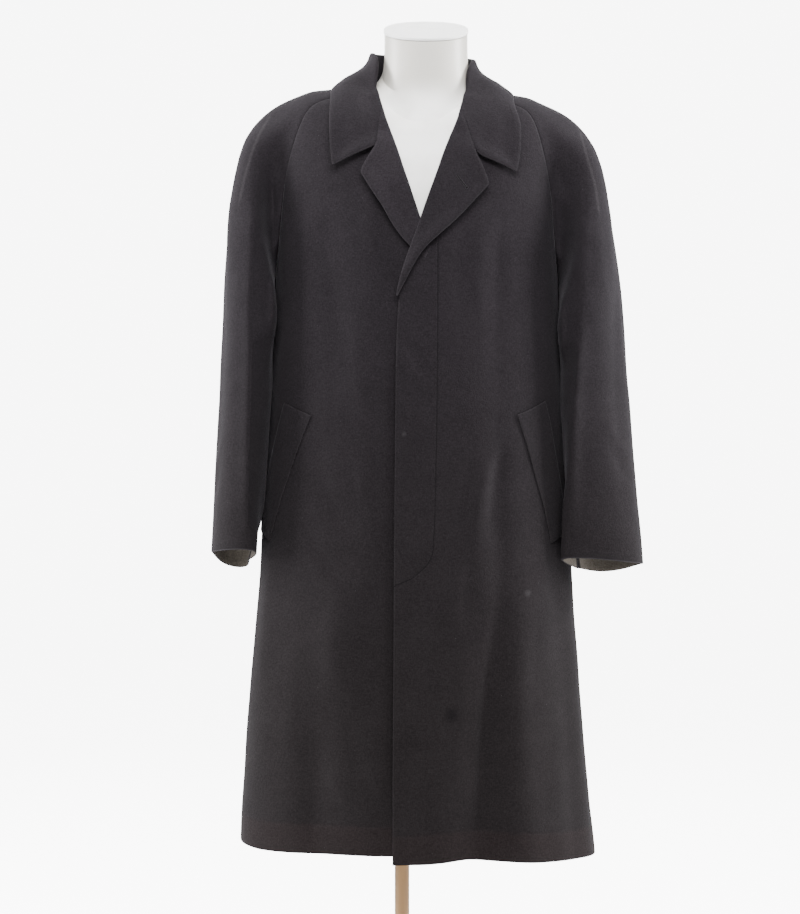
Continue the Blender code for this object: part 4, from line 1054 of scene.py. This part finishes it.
class COAT_OT_collar(bpy.types.Operator):
    """Make the collar and the lapels"""
    bl_idname = "coat.collar"
    bl_label = "Collar and lapels"

    def execute(self, context):
        # the under lapel's brighter colour is painted light, for light that falls on it more
        for node, piece, nap_turn in (("collar", "folded_collar", 1), ("lapel_left", "over_lapel", 1),
                                      ("lapel_right", "under_lapel", 1.3)):
            make_cloth(context.scene, node, piece, ["over_front", "under_front"], roll=.004, allowance=.007,
                       nap_turn=nap_turn)
        return {"FINISHED"}


class COAT_OT_pockets(bpy.types.Operator):
    """Make the pocket welts"""
    bl_idname = "coat.pockets"
    bl_label = "Pocket welts"

    def execute(self, context):
        for side, front in (("left", "over_front"), ("right", "under_front")):
            make_cloth(context.scene, f"pocket_welt_{side}", f"{side}_welt", [front], roll=.0025,
                       allowance=.006)
        return {"FINISHED"}


class COAT_OT_buttonhole(bpy.types.Operator):
    """Make the lapel's buttonhole"""
    bl_idname = "coat.buttonhole"
    bl_label = "Buttonhole"

    def execute(self, context):
        make_buttonhole(context.scene.coat_sewing)
        return {"FINISHED"}


class COAT_OT_form(bpy.types.Operator):
    """Make the torso and its cap"""
    bl_idname = "coat.form"
    bl_label = "Dress form"

    def execute(self, context):
        make_form(context.scene.coat_form)
        return {"FINISHED"}


class COAT_OT_stand(bpy.types.Operator):
    """Make the pole, the socket and the base"""
    bl_idname = "coat.stand"
    bl_label = "Stand"

    def execute(self, context):
        make_stand(context.scene.coat_form)
        return {"FINISHED"}


class COAT_OT_stage(bpy.types.Operator):
    """Make the floor, the lights and the camera"""
    bl_idname = "coat.stage"
    bl_label = "Studio"

    def execute(self, context):
        make_stage(context.scene.coat_stage)
        return {"FINISHED"}


# The buttonhole

BUTTONHOLE = ((.0757, 1.2670), (.0885, 1.2500))   # where it starts and ends, seen from the front
BEFORE_COAT = -.5
EYELET_RADIUS = .0016
TWIST_STEP = .00062           # from one turn of the twist to the next
TWIST_REACH = .00085          # half the length of a turn
TWIST_OUT = .6                # how far a turn's middle lies from the slit, in reaches
SLIT_HALF = .00042            # from the slit's middle to the twist
SLIT_WIDTH = .0013
# painted shadow: the colour of the dark sheet in the uncut slit and the eyelet
SLIT_SHADOW_COLOUR = (.0012, .001, .0012)
TWIST_LIFT = .00010           # how far the twist, the slit and the eyelet lie off the cloth
SLIT_LIFT = .00012
EYELET_LIFT = .00014


def buttonhole_outline(start, end, run, across):
    """Places of the twist, up one side, round the eyelet and back, each with its way outwards."""
    steps = int((end - start).length / TWIST_STEP)
    sides = [[(start + run * (end - start).length * step / steps + across * sign * SLIT_HALF, across * sign)
              for step in range(steps)] for sign in (1, -1)]
    rays = [run * -math.cos(math.radians(turn)) + across * math.sin(math.radians(turn))
            for turn in range(20, 341, 20)]
    return sides[0] + [(end + ray * EYELET_RADIUS, ray) for ray in rays] + sides[1][::-1]


def make_buttonhole(sewing):
    """A worked buttonhole with an eyelet: twist laid side by side round the slit, with a dark sheet of
    painted shadow in the slit and the eyelet.
    """
    tree = BVHTree.FromObject(bpy.data.objects["over_lapel"], bpy.context.evaluated_depsgraph_get())

    def on_lapel(place, lift):
        """The lapel's point behind a place, lifted off the cloth, and the way outwards there."""
        hit, normal, _, _ = tree.ray_cast(Vector((place.x, BEFORE_COAT, place.z)), Vector((0, 1, 0)))
        if hit is None:
            raise RuntimeError("the buttonhole misses the lapel")
        return hit + normal * lift, normal

    start, end = (Vector((x, 0, z)) for x, z in BUTTONHOLE)
    run = (end - start).normalized()
    across = Vector((-run.z, 0, run.x))
    bm = bmesh.new()
    for place, away in buttonhole_outline(start, end, run, across):
        point, normal = on_lapel(place, TWIST_LIFT)
        made = bmesh.ops.create_icosphere(bm, subdivisions=1, radius=sewing.thread_radius)["verts"]
        reach = TWIST_REACH / sewing.thread_radius
        lie = (away - normal * away.dot(normal)).normalized()
        turn = Matrix((lie, normal.cross(lie), normal)).transposed()
        for vert in made:
            bead = turn @ Vector((vert.co.x * reach, vert.co.y, vert.co.z))
            vert.co = point + lie * TWIST_REACH * TWIST_OUT + bead
    slit = bmesh.ops.create_grid(bm, x_segments=16, y_segments=2, size=.5)["verts"]
    for vert in slit:
        along = run * (end - start).length * (vert.co.x + .5)
        vert.co = on_lapel(start + along + across * vert.co.y * SLIT_WIDTH, SLIT_LIFT)[0]
    eyelet = bmesh.ops.create_circle(bm, cap_ends=True, segments=16, radius=EYELET_RADIUS)["verts"]
    for vert in eyelet:
        vert.co = on_lapel(end + run * vert.co.x + across * vert.co.y, EYELET_LIFT)[0]
    # the slit and the eyelet are painted shadow, a dark sheet on the uncut lapel
    dark = {*slit, *eyelet}
    for face in bm.faces:
        face.material_index = int(all(vert in dark for vert in face.verts))
    mesh = bpy.data.meshes.new("lapel_buttonhole")
    bm.to_mesh(mesh)
    bm.free()
    twist = hard_material("buttonhole_twist", sewing.thread_colour)
    twist.shade(Specular_IOR_Level=.12)
    shadow = hard_material("buttonhole_slit", SLIT_SHADOW_COLOUR)
    shadow.shade(Specular_IOR_Level=.05)
    add_piece("lapel_buttonhole", mesh, [twist.material, shadow.material])


# The form and the stand

FORM_SHOULDER = (.12, .175)   # the form's shoulders, from the coat's middle
FORM_FRONT = (-.06, 0)
FORM_INSET = .007             # how far their front keeps back from the folds of the cloth
NECK_SHADE_HEIGHTS = (1.36, 1.42)   # painted shade: the shell is greyer above here, on the shaded neck
NECK_SHADE_COLOUR = (.50, .48, .44, 1)
SOLID_BEND = 30               # triangles bent by less than this are one quad, in degrees
CORNER_ROUND = .0008


def smooth_copy(node, name, crease_angle, levels, hard):
    """A CAD solid as a smooth quad mesh with its real corners kept."""
    bm = joined_quads(node, SOLID_BEND)
    round_edges(bm, sharp_edges(bm, crease_angle), CORNER_ROUND)
    mesh = evaluated_mesh(bm, name, levels, False)
    bm.free()
    return add_piece(name, mesh, [hard.material], node)


def make_form(form):
    """The torso and the cap on its neck."""
    shell = hard_material("form_shell", form.shell_colour)
    # painted shade on the neck
    neck_shade = shell.step(shell.split(shell.place)["Z"], *NECK_SHADE_HEIGHTS)
    plain = shell.shader["Base Color"].links[0].from_socket
    shell.shade(Base_Color=shell.mix(neck_shade, plain, NECK_SHADE_COLOUR), Coat_Weight=.12, Coat_Roughness=.3)
    torso = smooth_copy("torso_form", "dress_form", 50, 2, shell)
    for vert in torso.data.vertices:
        reach = float(ramp(abs(vert.co.x - COAT_X), *FORM_SHOULDER)) * float(ramp(-vert.co.y, *FORM_FRONT))
        vert.co.y += FORM_INSET * reach
    cap = hard_material("form_cap", form.cap_colour)
    smooth_copy("neck_cap", "form_neck_cap", 40, 2, cap)


def make_stand(form):
    """The pole, the socket and the base."""
    wood = hard_material("pole_wood", form.wood_colour)
    steel = hard_material("stand_steel", form.steel_colour)
    steel.shade(Metallic=1)
    for node, name, hard, slot in (("pole", "stand_pole", wood, "pole_wood"),
                                   ("pole_socket", "stand_socket", steel, "steel"),
                                   ("stand_base", "stand_foot", steel, "steel")):
        smooth_copy(node, name, 40, 1, hard)


# The studio

FLOOR_RADIUS = 9.0
FLOOR_STEPS = 96
FLOOR_TINT = (.985,) * 3
FLOOR_GLOW = (.08, .08, .08, 1)   # the floor's own light as the coat sees it, beside WHITE as the camera does
WHITE = (1, 1, 1, 1)
SENSOR_WIDTH = 36

Lamp = namedtuple("Lamp", "name x y z width height power")
LAMPS = (
    Lamp("front", 0.0, -2.2, 3.0, 2.6, 1.1, 225),
    Lamp("top", 0.0, .4, 3.3, 2.4, 1.4, 95),
    Lamp("back", 0.0, 2.6, 2.3, 2.4, 1.2, 110),
    Lamp("side_left", -2.5, .05, 1.65, 1.0, 1.8, 230),
    Lamp("side_right", 2.5, .05, 1.65, 1.0, 1.8, 230),
)
AIM = Vector((0, 0, .95))


def make_floor(stage):
    """A wide round floor, as pale as the air around it."""
    bm = bmesh.new()
    bmesh.ops.create_circle(bm, cap_ends=True, segments=FLOOR_STEPS, radius=FLOOR_RADIUS)
    mesh = bpy.data.meshes.new("studio_floor")
    bm.to_mesh(mesh)
    bm.free()
    paint = Material("studio_paint")
    wear = paint.group("worn_surface", Place=paint.place, Size=.4, Height=.0002)
    seen = paint.node("LightPath")["Is Camera Ray"]
    paint.shade(Base_Color=paint.mix(wear["Smudge"], (*stage.floor_colour, 1),
                                     tinted(stage.floor_colour, FLOOR_TINT)),
                Roughness=.8, Emission_Color=paint.mix(seen, FLOOR_GLOW, WHITE),
                Emission_Strength=stage.paleness - stage.air)
    mesh.materials.append(paint.material)
    link_object("studio_floor", mesh)


def make_air(stage):
    """Pale surroundings, which look brighter than the light that they give."""
    world = bpy.data.worlds.new("studio_air")
    world.use_nodes = True
    air = Nodes(world.node_tree)
    given = air.tree.nodes["Background"]
    given.inputs["Color"].default_value = WHITE
    given.inputs["Strength"].default_value = stage.air
    seen = air.node("Background", {"Color": WHITE, "Strength": stage.paleness})
    ray = air.node("LightPath")["Is Camera Ray"]
    mixed = air.node("MixShader", {0: ray, 1: given.outputs[0], 2: seen[0]})
    air.feed(air.tree.nodes["World Output"].inputs["Surface"], mixed[0])
    bpy.context.scene.world = world


def make_stage(stage):
    """The floor, the air, the soft lights and the camera."""
    make_floor(stage)
    make_air(stage)
    for lamp in LAMPS:
        data = bpy.data.lights.new(lamp.name, "AREA")
        data.shape = "RECTANGLE"
        data.size = lamp.width
        data.size_y = lamp.height
        data.energy = lamp.power * stage.light_power
        light = link_object(lamp.name, data)
        light.location = (lamp.x, lamp.y, lamp.z)
        light.rotation_euler = (AIM - light.location).to_track_quat("-Z", "Y").to_euler()
    data = bpy.data.cameras.new("studio_camera")
    data.lens = stage.lens
    data.sensor_width = SENSOR_WIDTH
    camera = link_object("studio_camera", data)
    camera.location = (stage.camera_x, -stage.camera_distance, stage.camera_height)
    camera.rotation_euler = (math.radians(90), 0, 0)
    bpy.context.scene.camera = camera


class COAT_PT_panel(bpy.types.Panel):
    """The overcoat's operators and settings"""
    bl_idname = "COAT_PT_panel"
    bl_label = "Overcoat"
    bl_space_type = "VIEW_3D"
    bl_region_type = "UI"
    bl_category = "Overcoat"

    def draw(self, context):
        for operator in OPERATORS:
            self.layout.operator(operator.bl_idname)
        for name, group in SETTINGS:
            box = self.layout.box()
            box.label(text=group.__doc__)
            for prop in group.__annotations__:
                box.prop(getattr(context.scene, name), prop)


SETTINGS = (("coat_wool", WoolSettings), ("coat_drape", DrapeSettings), ("coat_sewing", SewingSettings),
            ("coat_form", FormSettings), ("coat_stage", StageSettings))
OPERATORS = (COAT_OT_fronts, COAT_OT_back, COAT_OT_sleeves, COAT_OT_collar, COAT_OT_pockets,
             COAT_OT_buttonhole, COAT_OT_form, COAT_OT_stand, COAT_OT_stage)


def register():
    """Add the settings, the operators and the panel."""
    for name, group in SETTINGS:
        bpy.utils.register_class(group)
        setattr(bpy.types.Scene, name, PointerProperty(type=group))
    for item in (*OPERATORS, COAT_PT_panel):
        bpy.utils.register_class(item)


def unregister():
    """Take them away again."""
    for item in (COAT_PT_panel, *reversed(OPERATORS)):
        bpy.utils.unregister_class(item)
    for name, group in reversed(SETTINGS):
        delattr(bpy.types.Scene, name)
        bpy.utils.unregister_class(group)


def main():
    """Make every piece and the studio."""
    register()
    for operator in OPERATORS:
        getattr(bpy.ops.coat, operator.bl_idname.split(".")[1])()


if __name__ == "__main__":
    main()
